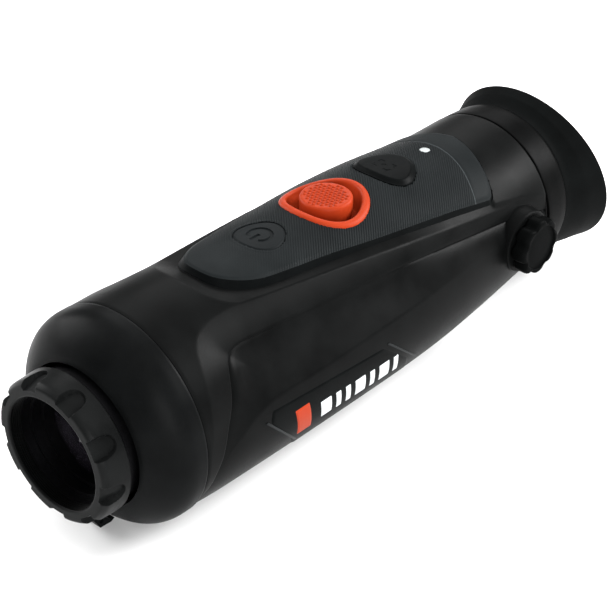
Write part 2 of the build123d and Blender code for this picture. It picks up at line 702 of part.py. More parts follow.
with BuildPart() as joystick_base:
    stick_block(6.4, (KEYPAD_TOP, 16.6))
    stick_block(5.1, (KEYPAD_TOP + 0.4, 17.0), mode=Mode.SUBTRACT)
    post(0, JOYSTICK_STATION, KEYPAD_TOP, KEYPAD_TOP + 1.0, BASE_OPENING, mode=Mode.SUBTRACT)
    side_rod(-7.0, 7.0, JOYSTICK_STATION, PIVOT_HEIGHT, PIN_BORE, mode=Mode.SUBTRACT)
save(joystick_base.part, "joystick_base")

# ================================================================ display and eyepiece
with BuildPart() as display_holder:
    ring(124.4, 126.0, 20.1, 0.0)
    plate(124.0, 127.0, 12.4, 9.6, mode=Mode.SUBTRACT)
save(display_holder.part, "display_holder")

with BuildPart() as display_panel:
    plate(122.8, 124.4, 15.0, 12.0)
save(display_panel.part, "display_panel")

with BuildPart() as display_board:
    plate(121.4, 122.6, 22.0, 20.0)
save(display_board.part, "display_board")

with BuildPart() as display_ribbon:
    block((-4.0, 4.0), (93.0, 120.6), (3.6, 3.8))
    block((-4.0, 4.0), (120.4, 121.4), (3.6, 6.0))
save(display_ribbon.part, "display_ribbon")

with BuildPart() as eyepiece_tube:
    with BuildSketch(SIDE):
        Polygon((145.6, EYE_BORE), (145.6, 19.3), (REAR_SEAM + 1.0, 19.3),
                (REAR_SEAM + 1.0, EYE_BARREL_RADIUS), (EYE_BARREL_END, EYE_BARREL_RADIUS - 0.2),
                (EYE_BARREL_END, EYE_NOSE_RADIUS),
                (EYE_NOSE_END, EYE_NOSE_RADIUS), (EYE_NOSE_END, 17.2), (160.2, 17.2), (160.2, EYE_BORE),
                align=None)
    revolve(axis=OPTICAL_AXIS)
save(eyepiece_tube.part, "eyepiece_tube")

with BuildPart() as eyepiece_seal:
    with BuildSketch(SIDE):
        with Locations((REAR_SEAM + 0.5, 20.9)):
            Rectangle(0.9, 1.2)
    revolve(axis=OPTICAL_AXIS)
save(eyepiece_seal.part, "eyepiece_seal")

with BuildPart() as eyepiece_carriage:
    ring(CARRIAGE_START, CARRIAGE_END, CARRIAGE_RADIUS, 0.0)
    ring(CARRIAGE_START, 142.0, OCULAR_BORE, 0.0, mode=Mode.SUBTRACT)
    ring(142.0, 147.0, 13.4, 0.0, mode=Mode.SUBTRACT)
    ring(147.0, CARRIAGE_END, OCULAR_BORE, 0.0, mode=Mode.SUBTRACT)
    # rack bar beside the pinion
    block((14.9, 18.1), (CARRIAGE_START, 143.2), (-5.0, RACK_TOP))
    tooth_pitch = 2 * pi * PINION_PITCH / PINION_TEETH
    with BuildSketch(across(16.3, KNOB_STATION, RACK_TOP - 0.05)):
        with GridLocations(tooth_pitch, 1, 5, 1):
            Trapezoid(0.78, 1.05, 75, align=(Align.CENTER, Align.MIN))
    extrude(amount=1.8)
save(eyepiece_carriage.part, "eyepiece_carriage")

with BuildPart() as ocular_front_lens:
    with BuildSketch(SIDE):
        with BuildLine():
            front = TangentArc((134.0, 0), (136.4, OCULAR_RADIUS), tangent=(0, 1))
            Polyline(front @ 1, (142.0, OCULAR_RADIUS), (142.0, 0), front @ 0)
        make_face()
    revolve(axis=OPTICAL_AXIS)
save(ocular_front_lens.part, "ocular_front_lens")

with BuildPart() as ocular_rear_lens:
    with BuildSketch(SIDE):
        with BuildLine():
            back = TangentArc((154.4, 0), (151.4, OCULAR_RADIUS), tangent=(0, 1))
            Polyline(back @ 0, (147.0, 0), (147.0, OCULAR_RADIUS), back @ 1)
        make_face()
    revolve(axis=OPTICAL_AXIS)
save(ocular_rear_lens.part, "ocular_rear_lens")

with BuildPart() as ocular_window:
    ring(160.3, 161.8, 17.15, 0.0)
save(ocular_window.part, "ocular_window")

with BuildPart() as diopter_bushing:
    side_rod(19.6, 24.0, KNOB_STATION, 0.0, BUSHING_BORE - 0.02)
    side_rod(19.0, 25.0, KNOB_STATION, 0.0, SHAFT_RADIUS + RUNNING_GAP, mode=Mode.SUBTRACT)
save(diopter_bushing.part, "diopter_bushing")

with BuildPart() as diopter_shaft:
    side_rod(16.2, 26.6, KNOB_STATION, 0.0, SHAFT_RADIUS)
    with BuildSketch(across(16.4, KNOB_STATION)):
        Circle(1.9)
        for tooth in range(PINION_TEETH):
            angle = 360.0 / PINION_TEETH * (tooth + 0.5) - 90.0
            middle = PINION_PITCH - 0.2
            with Locations(Location((middle * cos(radians(angle)), middle * sin(radians(angle))), angle)):
                Rectangle(1.1, 0.55)
    extrude(amount=1.6)
save(diopter_shaft.part, "diopter_shaft")

with BuildPart() as diopter_knob:
    with BuildSketch(across(KNOB_START, KNOB_STATION)):
        Circle(KNOB_RADIUS)
        with PolarLocations(KNOB_RADIUS + 1.9, KNOB_SCALLOPS):
            Circle(2.5, mode=Mode.SUBTRACT)
    extrude(amount=KNOB_END - KNOB_START)
    chamfer(diopter_knob.faces().sort_by(Axis.X)[-1].edges(), length=0.5)
    side_rod(KNOB_END - 0.4, KNOB_END + 1, KNOB_STATION, 0.0, 5.9, mode=Mode.SUBTRACT)
    side_rod(KNOB_START - 1, 26.7, KNOB_STATION, 0.0, SHAFT_RADIUS, mode=Mode.SUBTRACT)
save(diopter_knob.part, "diopter_knob")

with BuildPart() as eyecup:
    cup_loft(CUP_SKIN)
    ring(EYE_BARREL_END, CUP_SEAT_END, EYE_NOSE_RADIUS + 0.08, 0.0, mode=Mode.SUBTRACT)
    cup_loft(CUP_HOLLOW, mode=Mode.SUBTRACT)
save(eyecup.part, "eyecup")
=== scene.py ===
import json
from math import cos, pi, radians, sin

import bmesh
import bpy
import numpy as np
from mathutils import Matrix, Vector


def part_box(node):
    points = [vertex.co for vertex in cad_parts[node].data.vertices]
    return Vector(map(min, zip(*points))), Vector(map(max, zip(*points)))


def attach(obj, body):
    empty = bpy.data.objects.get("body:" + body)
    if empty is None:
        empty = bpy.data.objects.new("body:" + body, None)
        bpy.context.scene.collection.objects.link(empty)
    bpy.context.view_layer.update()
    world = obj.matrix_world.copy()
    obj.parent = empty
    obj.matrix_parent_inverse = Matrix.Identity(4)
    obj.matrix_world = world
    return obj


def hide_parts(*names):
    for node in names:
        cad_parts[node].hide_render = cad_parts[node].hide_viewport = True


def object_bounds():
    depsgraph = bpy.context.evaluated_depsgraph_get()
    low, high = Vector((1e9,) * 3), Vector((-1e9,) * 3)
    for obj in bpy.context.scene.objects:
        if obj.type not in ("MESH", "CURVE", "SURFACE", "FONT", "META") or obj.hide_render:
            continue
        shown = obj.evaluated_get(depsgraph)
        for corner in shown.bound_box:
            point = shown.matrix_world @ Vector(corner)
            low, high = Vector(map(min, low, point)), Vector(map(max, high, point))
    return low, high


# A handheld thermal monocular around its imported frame. Shapes are worked out in millimetres:
# x across, a "station" back from the front face of the focus ring, and a height over the optical axis.

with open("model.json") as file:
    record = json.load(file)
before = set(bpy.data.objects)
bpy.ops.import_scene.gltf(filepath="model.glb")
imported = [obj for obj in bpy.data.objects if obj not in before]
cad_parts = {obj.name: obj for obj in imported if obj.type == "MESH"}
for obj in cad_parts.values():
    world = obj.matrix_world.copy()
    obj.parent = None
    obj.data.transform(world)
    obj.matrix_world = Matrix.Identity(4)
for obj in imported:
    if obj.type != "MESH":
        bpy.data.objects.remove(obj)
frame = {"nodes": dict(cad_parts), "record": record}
cad_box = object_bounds()

MM = 0.001
cell_low, cell_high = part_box("lens_cell")
FRONT_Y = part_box("focus_ring")[0].y
AXIS_Z = (cell_low.z + cell_high.z) / 2

# ---------------------------------------------------------------- sizes of the body, in millimetres
# outer skin: station, radius, and how far its centre lies below the optical axis
SKIN = [(21.7, 26.05, 0.05), (32.0, 26.15, 0.15), (48.0, 26.10, 0.60), (67.0, 26.10, 0.90),
        (92.0, 26.00, 1.20), (111.0, 25.35, 1.35), (127.0, 24.00, 1.40), (138.0, 23.10, 1.00),
        (150.0, 22.35, 0.05)]
FRONT_SEAM = 21.7
REAR_SEAM = 150.0
SEAM_GAP = 0.08
BELLY = AXIS_Z / MM                 # the flat underside lies this far below the axis
SPREAD = 26.0                       # radius used to unroll the skin flat, for distances along it

# the crease between the two shells: station and angle from the crest, in degrees
CREASE = [(21.7, 127.0), (22.6, 121.0), (24.2, 110.5), (25.1, 102.8), (26.3, 96.3), (27.5, 88.9),
        (28.9, 81.8), (30.6, 75.3), (32.0, 68.6), (33.3, 60.0), (34.4, 53.9), (35.4, 50.3), (36.8, 47.9),
        (38.4, 46.6), (40.4, 46.2), (42.3, 46.2), (45.4, 46.6), (51.4, 47.6), (57.6, 48.7), (63.9, 49.8),
        (70.4, 50.9), (77.0, 52.3), (83.6, 53.7), (90.5, 55.0), (97.7, 56.5), (105.1, 58.3),
        (112.8, 60.3), (120.8, 62.9), (129.2, 66.1), (137.7, 70.3), (150.0, 80.0)]
# outer edge of the sunken band below the pad, from the rear to the front, where it runs down the side;
# TROUGH_CORNER is where the trough meets it
BAND = [(151.0, 70.0), (139.1, 62.6), (131.1, 58.5), (123.0, 55.2), (115.2, 52.3), (107.7, 49.8),
        (100.7, 47.5), (93.8, 45.3), (77.0, 39.7), (60.0, 34.2), (50.0, 31.0), (45.6, 29.6), (42.8, 28.8),
        (39.5, 28.9), (36.3, 29.4), (32.5, 31.3), (30.2, 34.7), (28.7, 38.9), (27.8, 43.5), (27.0, 49.0),
        (26.3, 55.2), (25.5, 62.1), (24.5, 72.0), (23.2, 84.3), (22.2, 95.0), (21.0, 108.0)]
TROUGH_CORNER = (45.6, 29.6)
# trough round the nose of the pad: from the crest to the band's edge
TROUGH = [(39.2, 0.0), (39.3, 5.0), (40.0, 13.5), (40.9, 18.9), (42.1, 23.4), (44.0, 27.2), (45.9, 29.7)]
# step that runs back from the pad's corner
STEP = [(129.6, 53.2), (132.1, 54.8), (136.0, 57.0), (139.9, 59.5), (144.0, 63.0), (148.0, 68.5),
        (150.5, 74.0)]
# soft ridge between the hollow grip and the lower flank
RIDGE = [(22.0, 125.0), (28.0, 98.0), (34.0, 87.0), (39.0, 82.0), (44.4, 79.8), (57.5, 80.0),
        (71.4, 79.5), (82.2, 78.7), (93.5, 78.0), (105.4, 77.5), (125.0, 76.0), (150.0, 84.0)]

# control pad, half outlines in plan: distance across and station, for its top and for its foot
PAD_TOP = [(0.0, 45.0), (1.4, 45.05), (3.9, 45.6), (5.9, 46.9), (8.5, 50.1), (10.4, 54.5), (11.4, 60.0),
        (12.2, 65.8), (12.9, 71.9), (13.7, 77.9), (14.6, 83.8), (15.4, 89.9), (16.1, 96.5), (17.2, 110.1),
        (17.6, 117.6), (18.0, 125.1), (18.2, 128.9)]
PAD_REAR = [(18.2, 128.9), (17.7, 130.3), (16.6, 131.4), (14.8, 132.5), (10.8, 134.2), (6.4, 135.7),
        (2.5, 136.6), (0.0, 137.1)]
PAD_FOOT = [(0.0, 44.1), (1.8, 44.2), (4.6, 44.6), (6.7, 45.6), (8.3, 47.1), (9.5, 49.1), (10.5, 51.2),
        (11.3, 53.5), (12.5, 58.8), (13.1, 64.7), (13.8, 70.7), (14.5, 76.9), (15.1, 83.4), (15.8, 89.8),
        (16.5, 96.4), (17.2, 103.2), (17.8, 110.1), (18.2, 117.6), (18.5, 125.2), (18.7, 129.2)]
FOOT_REAR = [(18.7, 129.2), (18.1, 130.7), (16.8, 131.7), (14.8, 132.7), (10.8, 134.4), (6.4, 135.9),
        (2.5, 136.8), (0.0, 137.3)]
# depth of the pad's foot below the skin, and of the band's upper edge, by station
FOOT_DEPTH = [(44.0, 1.3), (60.0, 1.0), (100.0, 0.9), (130.0, 0.5)]
BAND_DEPTH = [(80.0, 0.0), (125.0, 0.42), (138.0, 0.40), (149.5, 0.05)]
PAD_PROUD = 0.35                    # top of the pad above the skin
# fine groove behind the ribs: distance across and station
RIB_END = [(0.0, 129.2), (4.9, 128.9), (8.9, 128.2), (11.3, 127.5), (14.4, 125.8), (16.5, 124.5),
        (18.2, 123.2)]

POWER_STATION = 65.5
CAPTURE_STATION = 109.6
STICK_STATION = 88.3
STICK_FACE = 26.0                   # thumb face of the stick above the axis, without its pips
LAMP_STATION = 125.5
KNOB_STATION = 138.7
USB_STATION = 112.0
USB_HEIGHT = -6.0
FLAP_BOX = (103.0, 122.0, -10.9, -1.1)      # stations and heights of the connector flap


# ================================================================ small geometry tools
def smooth_curve(knots, at, column=1):
    """A smooth curve through the knots, which are sorted by their first value."""
    knots = np.array(knots, float)
    x, y = knots[:, 0], knots[:, column]
    chord = np.diff(y) / np.diff(x)
    slope = np.concatenate([[chord[0]], (chord[1:] + chord[:-1]) / 2, [chord[-1]]])
    # no overshoot where the chords change sign or one is flat
    for i in range(len(chord)):
        limit = 3.0 * abs(chord[i])
        slope[i] = np.clip(slope[i], -limit, limit)
        slope[i + 1] = np.clip(slope[i + 1], -limit, limit)
    at = np.clip(at, x[0], x[-1])
    i = np.clip(np.searchsorted(x, at) - 1, 0, len(chord) - 1)
    h = x[i + 1] - x[i]
    t = (at - x[i]) / h
    return ((2 * t**3 - 3 * t**2 + 1) * y[i] + (t**3 - 2 * t**2 + t) * h * slope[i]
            + (3 * t**2 - 2 * t**3) * y[i + 1] + (t**3 - t**2) * h * slope[i + 1])


def ramp(value, low, high):
    """0 at low, 1 at high, and smooth in between; low may be the larger."""
    t = np.clip((value - low) / (high - low), 0.0, 1.0)
    return t * t * (3 - 2 * t)


def nearest(points, line):
    """For each point, the distance and the vector to the closest place on a polyline."""
    points = np.asarray(points, float)
    best = np.full(len(points), 1e9)
    toward = np.zeros_like(points)
    for a, b in zip(line[:-1], line[1:]):
        along = b - a
        t = np.clip((points - a) @ along / max(along @ along, 1e-12), 0.0, 1.0)
        offset = a + t[:, None] * along - points
        distance = np.hypot(offset[:, 0], offset[:, 1])
        closer = distance < best
        best[closer] = distance[closer]
        toward[closer] = offset[closer]
    return best, toward


def nearest_on(points, outline):
    """The same for a closed outline."""
    return nearest(points, np.vstack([outline, outline[:1]]))


def inside(points, outline):
    """True for each point within a closed outline."""
    x, y = points[:, 0], points[:, 1]
    result = np.zeros(len(points), bool)
    for (ax, ay), (bx, by) in zip(outline, np.roll(outline, -1, axis=0)):
        if ay == by:
            continue
        crosses = (ay > y) != (by > y)
        result ^= crosses & (x < (bx - ax) * (y - ay) / (by - ay) + ax)
    return result


def resampled(line, count):
    """A smooth curve through a line's points, as evenly spaced points."""
    line = np.array(line, float)
    length = np.concatenate([[0], np.cumsum(np.hypot(*np.diff(line, axis=0).T))])
    at = np.linspace(0, length[-1], count)
    return np.stack([smooth_curve(np.column_stack([length, line]), at, k) for k in (1, 2)], axis=1)


def dense(line, steps):
    return resampled(line, steps * (len(line) - 1) + 1)


def closed(half):
    """The whole outline from its +X half, which runs from the front to the rear."""
    half = np.asarray(half, float)
    return np.vstack([half, (half * [-1, 1])[::-1][1:-1]])


def soften(points, radius):
    """A closed outline with each corner replaced by a short curve."""
    points = np.array(points, float)
    out = []
    for before, corner, after in zip(np.roll(points, 1, axis=0), points, np.roll(points, -1, axis=0)):
        before, after = before - corner, after - corner
        size = (np.linalg.norm(before), np.linalg.norm(after))
        reach = min(radius, 0.45 * size[0], 0.45 * size[1])
        start, end = corner + before / size[0] * reach, corner + after / size[1] * reach
        for t in np.linspace(0, 1, 5):
            out.append((1 - t)**2 * start + 2 * t * (1 - t) * corner + t**2 * end)
    return np.array(out)


def quads(rows, columns, wrap_rows=False, wrap_columns=False, first=0):
    """Faces of a grid of points stored row by row."""
    r = np.arange(rows if wrap_rows else rows - 1)
    c = np.arange(columns if wrap_columns else columns - 1)
    r, c = np.meshgrid(r, c, indexing="ij")
    r2, c2 = (r + 1) % rows, (c + 1) % columns
    faces = np.stack([r * columns + c, r * columns + c2, r2 * columns + c2, r2 * columns + c], axis=-1)
    return (faces.reshape(-1, 4) + first).tolist()


def plate_faces(count, rings):
    """Faces of a plate: rings about a first point, then the side wall and the underside."""
    faces = [[0, 1 + k, 1 + (k + 1) % count] for k in range(count)]
    faces += quads(rings, count, False, True, 1)
    ring = np.arange(count)
    following = (ring + 1) % count
    last = 1 + (rings - 1) * count
    under = last + count
    faces += np.stack([last + ring, last + following, under + following, under + ring], axis=1).tolist()
    faces.append((under + ring[::-1]).tolist())
    return faces


def to_frame(points):
    """Millimetre points (x, station, height) in the frame's metres."""
    points = np.array(points, float).reshape(-1, 3) * MM
    points[:, 1] += FRONT_Y
    points[:, 2] += AXIS_Z
    return points


def make_piece(name, points, faces, body, slot, replaces=(), sharp=35.0, look=None):
    """A finished mesh piece on one body, with its slot's look unless another is named."""
    mesh = bpy.data.meshes.new(name)
    mesh.from_pydata(to_frame(points).tolist(), [], faces)
    mesh.validate()
    work = bmesh.new()
    work.from_mesh(mesh)
    bmesh.ops.remove_doubles(work, verts=work.verts, dist=1e-7)
    bmesh.ops.recalc_face_normals(work, faces=work.faces)
    work.to_mesh(mesh)
    work.free()
    mesh.shade_smooth()
    mesh.set_sharp_from_angle(angle=radians(sharp))
    piece = bpy.data.objects.new(name, mesh)
    bpy.context.scene.collection.objects.link(piece)
    mesh.materials.append(LOOKS[look or slot])
    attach(piece, body)
    if replaces:
        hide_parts(*replaces)
    return piece


def full_turn(steps):
    return np.linspace(0, 2 * pi, steps, endpoint=False)


def lathe(section, steps):
    """A closed section of (station, radius) turned about the optical axis."""
    turn = full_turn(steps)[:, None]
    station, radius = np.array(section, float).T
    points = np.stack([radius * np.sin(turn), np.tile(station, (steps, 1)), radius * np.cos(turn)], axis=-1)
    return points.reshape(-1, 3), quads(steps, len(station), True, True)


def level_ring(turn, radius, station, height):
    """A ring of points about an upright axis in the symmetry plane."""
    rim = np.full_like(turn, height)
    return np.stack([radius * np.cos(turn), radius * np.sin(turn) + station, rim], axis=1)


def knob_ring(turn, x, radius):
    """A ring of points about the diopter knob's axis."""
    rim = np.full_like(turn, x)
    return np.stack([rim, KNOB_STATION + radius * np.cos(turn), radius * np.sin(turn)], axis=1)


def skin_radius(station):
    return smooth_curve(SKIN, station, 1)


def skin_drop(station):
    return smooth_curve(SKIN, station, 2)


def on_skin(angle, station, lift=0.0):
    """Points on the skin at an angle from the crest (radians) and a station, raised by lift."""
    radius = skin_radius(station) + lift
    height = radius * np.cos(angle) - skin_drop(station)
    return np.stack([radius * np.sin(angle), np.broadcast_to(station, np.shape(angle)) * 1.0,
                     np.maximum(height, -BELLY)], axis=-1)


def over_plan(x, station, lift=0.0):
    """Points on the top of the skin above plan positions."""
    radius = skin_radius(station) + lift
    height = np.sqrt(np.maximum(radius**2 - x**2, 0.0)) - skin_drop(station)
    return np.stack([x, station, height], axis=-1)


def unrolled(knots):
    """A curve given as station and angle in degrees, as points (arc length, station)."""
    knots = np.array(knots, float)
    return np.stack([np.radians(knots[:, 1]) * SPREAD, knots[:, 0]], axis=1)


# ================================================================ looks
def new_look(name):
    look = bpy.data.materials.new(name)
    look.use_nodes = True
    tree = look.node_tree
    shader = tree.nodes["Principled BSDF"]
    place = tree.nodes.new("ShaderNodeTexCoord").outputs["Object"]
    return look, tree, shader, place


def math_node(tree, kind, first, second=None, third=None):
    node = tree.nodes.new("ShaderNodeMath")
    node.operation = kind
    for socket, value in zip(node.inputs, (first, second, third)):
        if value is None:
            continue
        if isinstance(value, (int, float)):
            socket.default_value = value
        else:
            tree.links.new(value, socket)
    return node.outputs[0]


def noise(tree, place, size_mm, detail=3.0):
    node = tree.nodes.new("ShaderNodeTexNoise")
    node.inputs["Scale"].default_value = 1.0 / (size_mm * MM)
    node.inputs["Detail"].default_value = detail
    tree.links.new(place, node.inputs["Vector"])
    return node.outputs["Fac"]


def spread(tree, value, low, high):
    """Maps 0.3..0.7, where noise mostly lies, to low..high."""
    node = tree.nodes.new("ShaderNodeMapRange")
    node.inputs["From Min"].default_value = 0.3
    node.inputs["From Max"].default_value = 0.7
    node.inputs["To Min"].default_value = low
    node.inputs["To Max"].default_value = high
    tree.links.new(value, node.inputs["Value"])
    return node.outputs["Result"]


def tint(tree, shader, factor, dark, light):
    """Base colour that varies from dark to light."""
    mix = tree.nodes.new("ShaderNodeMix")
    mix.data_type = "RGBA"
    tree.links.new(factor, mix.inputs["Factor"])
    mix.inputs[6].default_value = (*dark, 1.0)
    mix.inputs[7].default_value = (*light, 1.0)
    tree.links.new(mix.outputs[2], shader.inputs["Base Color"])


def bump(tree, shader, height, depth_mm):
    node = tree.nodes.new("ShaderNodeBump")
    node.inputs["Strength"].default_value = 1.0
    node.inputs["Distance"].default_value = depth_mm * MM
    tree.links.new(height, node.inputs["Height"])
    tree.links.new(node.outputs["Normal"], shader.inputs["Normal"])


def moulded(name, colour, rough, grain, depth, specular, vary=0.25):
    """Moulded plastic or rubber: fine grain, its size and depth in millimetres, over slow changes of tone."""
    look, tree, shader, place = new_look(name)
    slow = noise(tree, place, 9.0, 4.0)
    fine = noise(tree, place, grain, 2.0)
    dark = [c * (1 - vary) for c in colour]
    light = [min(1.0, c * (1 + vary)) for c in colour]
    tint(tree, shader, spread(tree, slow, 0.0, 1.0), dark, light)
    fine_gloss = spread(tree, fine, rough - 0.04, rough + 0.04)
    gloss = math_node(tree, "ADD", spread(tree, slow, -0.05, 0.05), fine_gloss)
    tree.links.new(gloss, shader.inputs["Roughness"])
    shader.inputs["Specular IOR Level"].default_value = specular
    bump(tree, shader, fine, depth)
    return look


def metal(name, colour, rough):
    """Machined metal with fine tool marks."""
    look, tree, shader, place = new_look(name)
    fine = noise(tree, place, 0.4)
    slow = noise(tree, place, 6.0)
    tint(tree, shader, spread(tree, slow, 0.0, 1.0), [c * 0.85 for c in colour], colour)
    tree.links.new(spread(tree, fine, rough - 0.08, rough + 0.1), shader.inputs["Roughness"])
    shader.inputs["Metallic"].default_value = 1.0
    bump(tree, shader, fine, 0.004)
    return look


def board_look():
    """Solder mask with tracks showing through and plated pads."""
    look, tree, shader, place = new_look("board_laminate")
    cells = tree.nodes.new("ShaderNodeTexVoronoi")
    cells.distance = "CHEBYCHEV"
    cells.inputs["Scale"].default_value = 1.0 / (2.4 * MM)
    tree.links.new(place, cells.inputs["Vector"])
    track = math_node(tree, "GREATER_THAN", cells.outputs["Distance"], 0.42)
    tint(tree, shader, track, (0.006, 0.075, 0.026), (0.014, 0.15, 0.05))
    fine = noise(tree, place, 0.5, 2.0)
    tree.links.new(spread(tree, fine, 0.28, 0.4), shader.inputs["Roughness"])
    bump(tree, shader, track, 0.03)
    return look


def pad_look():
    """Rubber keypad: fine diagonal ribs that fade out towards the front and end at a painted highlight line.
    """
    look, tree, shader, place = new_look("pad_rubber")
    split = tree.nodes.new("ShaderNodeSeparateXYZ")
    tree.links.new(place, split.inputs[0])
    x, y = split.outputs["X"], split.outputs["Y"]
    rib_pitch, highlight_half_width = 0.58 * MM, 0.15 * MM
    fade_start, fade_end, ribs_end = (FRONT_Y + station * MM for station in (50, 82, 129.3))
    bow = 17.0                      # how fast the ribs' rear end curves forward at the sides, per metre
    diagonal = math_node(tree, "ADD", x, y)
    wave = math_node(tree, "SINE", math_node(tree, "MULTIPLY", diagonal, 2 * pi / (rib_pitch * 2**0.5)))
    fade = tree.nodes.new("ShaderNodeMapRange")
    fade.interpolation_type = "SMOOTHSTEP"
    fade.inputs["From Min"].default_value = fade_start
    fade.inputs["From Max"].default_value = fade_end
    tree.links.new(y, fade.inputs["Value"])
    end = math_node(tree, "ADD", y, math_node(tree, "MULTIPLY", math_node(tree, "MULTIPLY", x, x), bow))
    before_end = math_node(tree, "LESS_THAN", end, ribs_end)
    ribs = math_node(tree, "MULTIPLY", math_node(tree, "MULTIPLY", wave, fade.outputs["Result"]), before_end)
    # painted highlight: a thin lighter stripe where the ribs end, standing in for light caught on the
    # groove's edge
    line = math_node(tree, "COMPARE", end, ribs_end, highlight_half_width)
    slow = noise(tree, place, 12.0, 4.0)
    fine = noise(tree, place, 0.25, 2.0)
    shade = math_node(tree, "ADD", spread(tree, slow, 0.10, 0.22), math_node(tree, "MULTIPLY", ribs, 0.07))
    # the painted highlight stripe lifts the tint towards the light tone
    shade = math_node(tree, "ADD", shade, math_node(tree, "MULTIPLY", line, 0.75))
    tint(tree, shader, shade, (0.0030, 0.0037, 0.0040), (0.0350, 0.0400, 0.0415))
    tree.links.new(spread(tree, fine, 0.44, 0.54), shader.inputs["Roughness"])
    shader.inputs["Specular IOR Level"].default_value = 0.02
    grain = math_node(tree, "MULTIPLY", fine, 0.25)
    relief = math_node(tree, "ADD", math_node(tree, "MULTIPLY", ribs, 0.5), grain)
    bump(tree, shader, relief, 0.10)
    return look


def glass_look(name, colour, rough, metallic, coat):
    """Coated lens surface with a faint bloom."""
    look, tree, shader, place = new_look(name)
    bloom = noise(tree, place, 14.0, 3.0)
    tint(tree, shader, spread(tree, bloom, 0.0, 1.0), [c * 0.7 for c in colour], colour)
    tree.links.new(spread(tree, bloom, rough, rough + 0.05), shader.inputs["Roughness"])
    shader.inputs["Metallic"].default_value = metallic
    shader.inputs["Coat Weight"].default_value = coat
    return look


# colour, roughness, grain size, grain depth, specular level, and how much the tone varies if not by a quarter
PLASTICS = {
    "housing_plastic": ((0.0029, 0.0031, 0.0031), 0.38, 0.30, 0.010, 0.020),
    "bezel_plastic": ((0.0034, 0.0037, 0.0038), 0.38, 0.30, 0.010, 0.022),
    "ring_plastic": ((0.0055, 0.0059, 0.0059), 0.34, 0.22, 0.008, 0.04),
    "button_rubber": ((0.0026, 0.0030, 0.0031), 0.42, 0.2, 0.008, 0.014),
    "barrel_plastic": ((0.0019, 0.0020, 0.0020), 0.38, 0.30, 0.010, 0.012),
    "soft_rubber": ((0.0026, 0.0030, 0.0030), 0.6, 0.4, 0.02, 0.015),
    "seal_rubber": ((0.006, 0.006, 0.006), 0.7, 0.5, 0.02, 0.2),
    "knob_plastic": ((0.0020, 0.0022, 0.0022), 0.42, 0.22, 0.008, 0.006),
    "key_rubber": ((0.0075, 0.0087, 0.0092), 0.45, 0.2, 0.008, 0.02),
    # painted highlight: a lighter grey for the bracket lines, standing in for light on their bevels
    "bracket_painted_highlight": ((0.0125, 0.0138, 0.0142), 0.35, 0.25, 0.006, 0.03),
    "bore_plastic": ((0.0012, 0.0013, 0.0013), 0.4, 0.22, 0.008, 0.04),
    # painted shade: the pad's rubber made darker for its steep sides
    "pad_side_painted_shade": ((0.0024, 0.0028, 0.0029), 0.42, 0.25, 0.008, 0.012),
    "accent_orange": ((0.285, 0.027, 0.0060), 0.45, 0.25, 0.012, 0.06, 0.06),
    "badge_plastic": ((0.0024, 0.0028, 0.0028), 0.36, 0.25, 0.006, 0.012),
    "badge_mark": ((0.50, 0.52, 0.53), 0.45, 0.3, 0.006, 0.3, 0.06),
    "lamp_plastic": ((0.30, 0.32, 0.32), 0.3, 0.6, 0.004, 0.4, 0.05),
    "frame_plastic": ((0.03, 0.03, 0.032), 0.5, 0.4, 0.015, 0.4),
    "chip_plastic": ((0.012, 0.012, 0.013), 0.5, 0.3, 0.01, 0.4),
    "cell_wrap": ((0.05, 0.16, 0.36), 0.28, 1.2, 0.006, 0.5, 0.1),
    "ribbon_film": ((0.5, 0.22, 0.05), 0.3, 0.8, 0.004, 0.5, 0.1),
}
LOOKS = {name: moulded(name, *values) for name, values in PLASTICS.items()}
LOOKS.update({
    "pad_rubber": pad_look(), "board_laminate": board_look(),
    "black_metal": metal("black_anodised", (0.010, 0.010, 0.011), 0.45),
    "bare_steel": metal("machined_steel", (0.55, 0.55, 0.56), 0.32),
    "plain_brass": metal("machined_brass", (0.72, 0.52, 0.22), 0.3),
    "lens_glass": glass_look("coated_germanium", (0.012, 0.010, 0.014), 0.06, 0.3, 0.15),
    "eye_glass": glass_look("coated_eye_glass", (0.020, 0.024, 0.030), 0.04, 0.2, 0.8),
})


# ================================================================ the two shells
def sampled(knots, start, end, count):
    station = np.linspace(start, end, count)
    return unrolled(np.column_stack([station, smooth_curve(knots, station)]))


crease_line = sampled(CREASE, FRONT_SEAM, REAR_SEAM, 300)
band_line = unrolled(dense(BAND, 4))
trough_line = unrolled(dense(TROUGH, 4))
step_line = unrolled(dense(STEP, 3))
foot_half = dense(PAD_FOOT, 5)
top_half = dense(PAD_TOP, 5)
rear_half = dense(PAD_REAR, 5)
foot_rear = dense(FOOT_REAR, 5)
foot_outline = closed(np.vstack([foot_half, foot_rear[1:]]))
top_outline = closed(np.vstack([top_half, rear_half[1:]]))
# closed regions of the unrolled half skin: the band, and the trough between the pad and the band's edge;
# dense() puts four points on each span of BAND
band_region = np.vstack([band_line, [[47.0, 20.0], [60.0, 20.0], [60.0, 151.0]]])
trough_end = 4 * BAND.index(TROUGH_CORNER)
upper_region = np.vstack([trough_line, band_line[trough_end::-1], [[0.0, 151.0]]])


def foot_depth(station):
    return np.interp(station, *np.array(FOOT_DEPTH).T)


def band_depth(station):
    return np.interp(station, *np.array(BAND_DEPTH).T)


def plan_of(angle, station):
    """Plan position of a place on the skin."""
    return np.stack([skin_radius(station) * np.sin(angle), station], axis=-1)


def rounded_triangle(radius, bulge, steps=96):
    """An outline about the origin, with one corner to the rear."""
    turn = full_turn(steps)
    size = radius - bulge * np.sin(3 * turn)
    return np.stack([size * np.cos(turn), size * np.sin(turn)], axis=1)


STICK_OUTLINE = rounded_triangle(10.9, 0.35) + [0, STICK_STATION - 0.2]
POWER_OUTLINE = rounded_triangle(6.2, 0.22) + [0, POWER_STATION]
CAPTURE_OUTLINE = rounded_triangle(8.3, 0.55) * [1.0, 0.86] + [0, CAPTURE_STATION + 0.9]
LAMP_OUTLINE = rounded_triangle(1.38, 0.0, 32) + [0, LAMP_STATION]


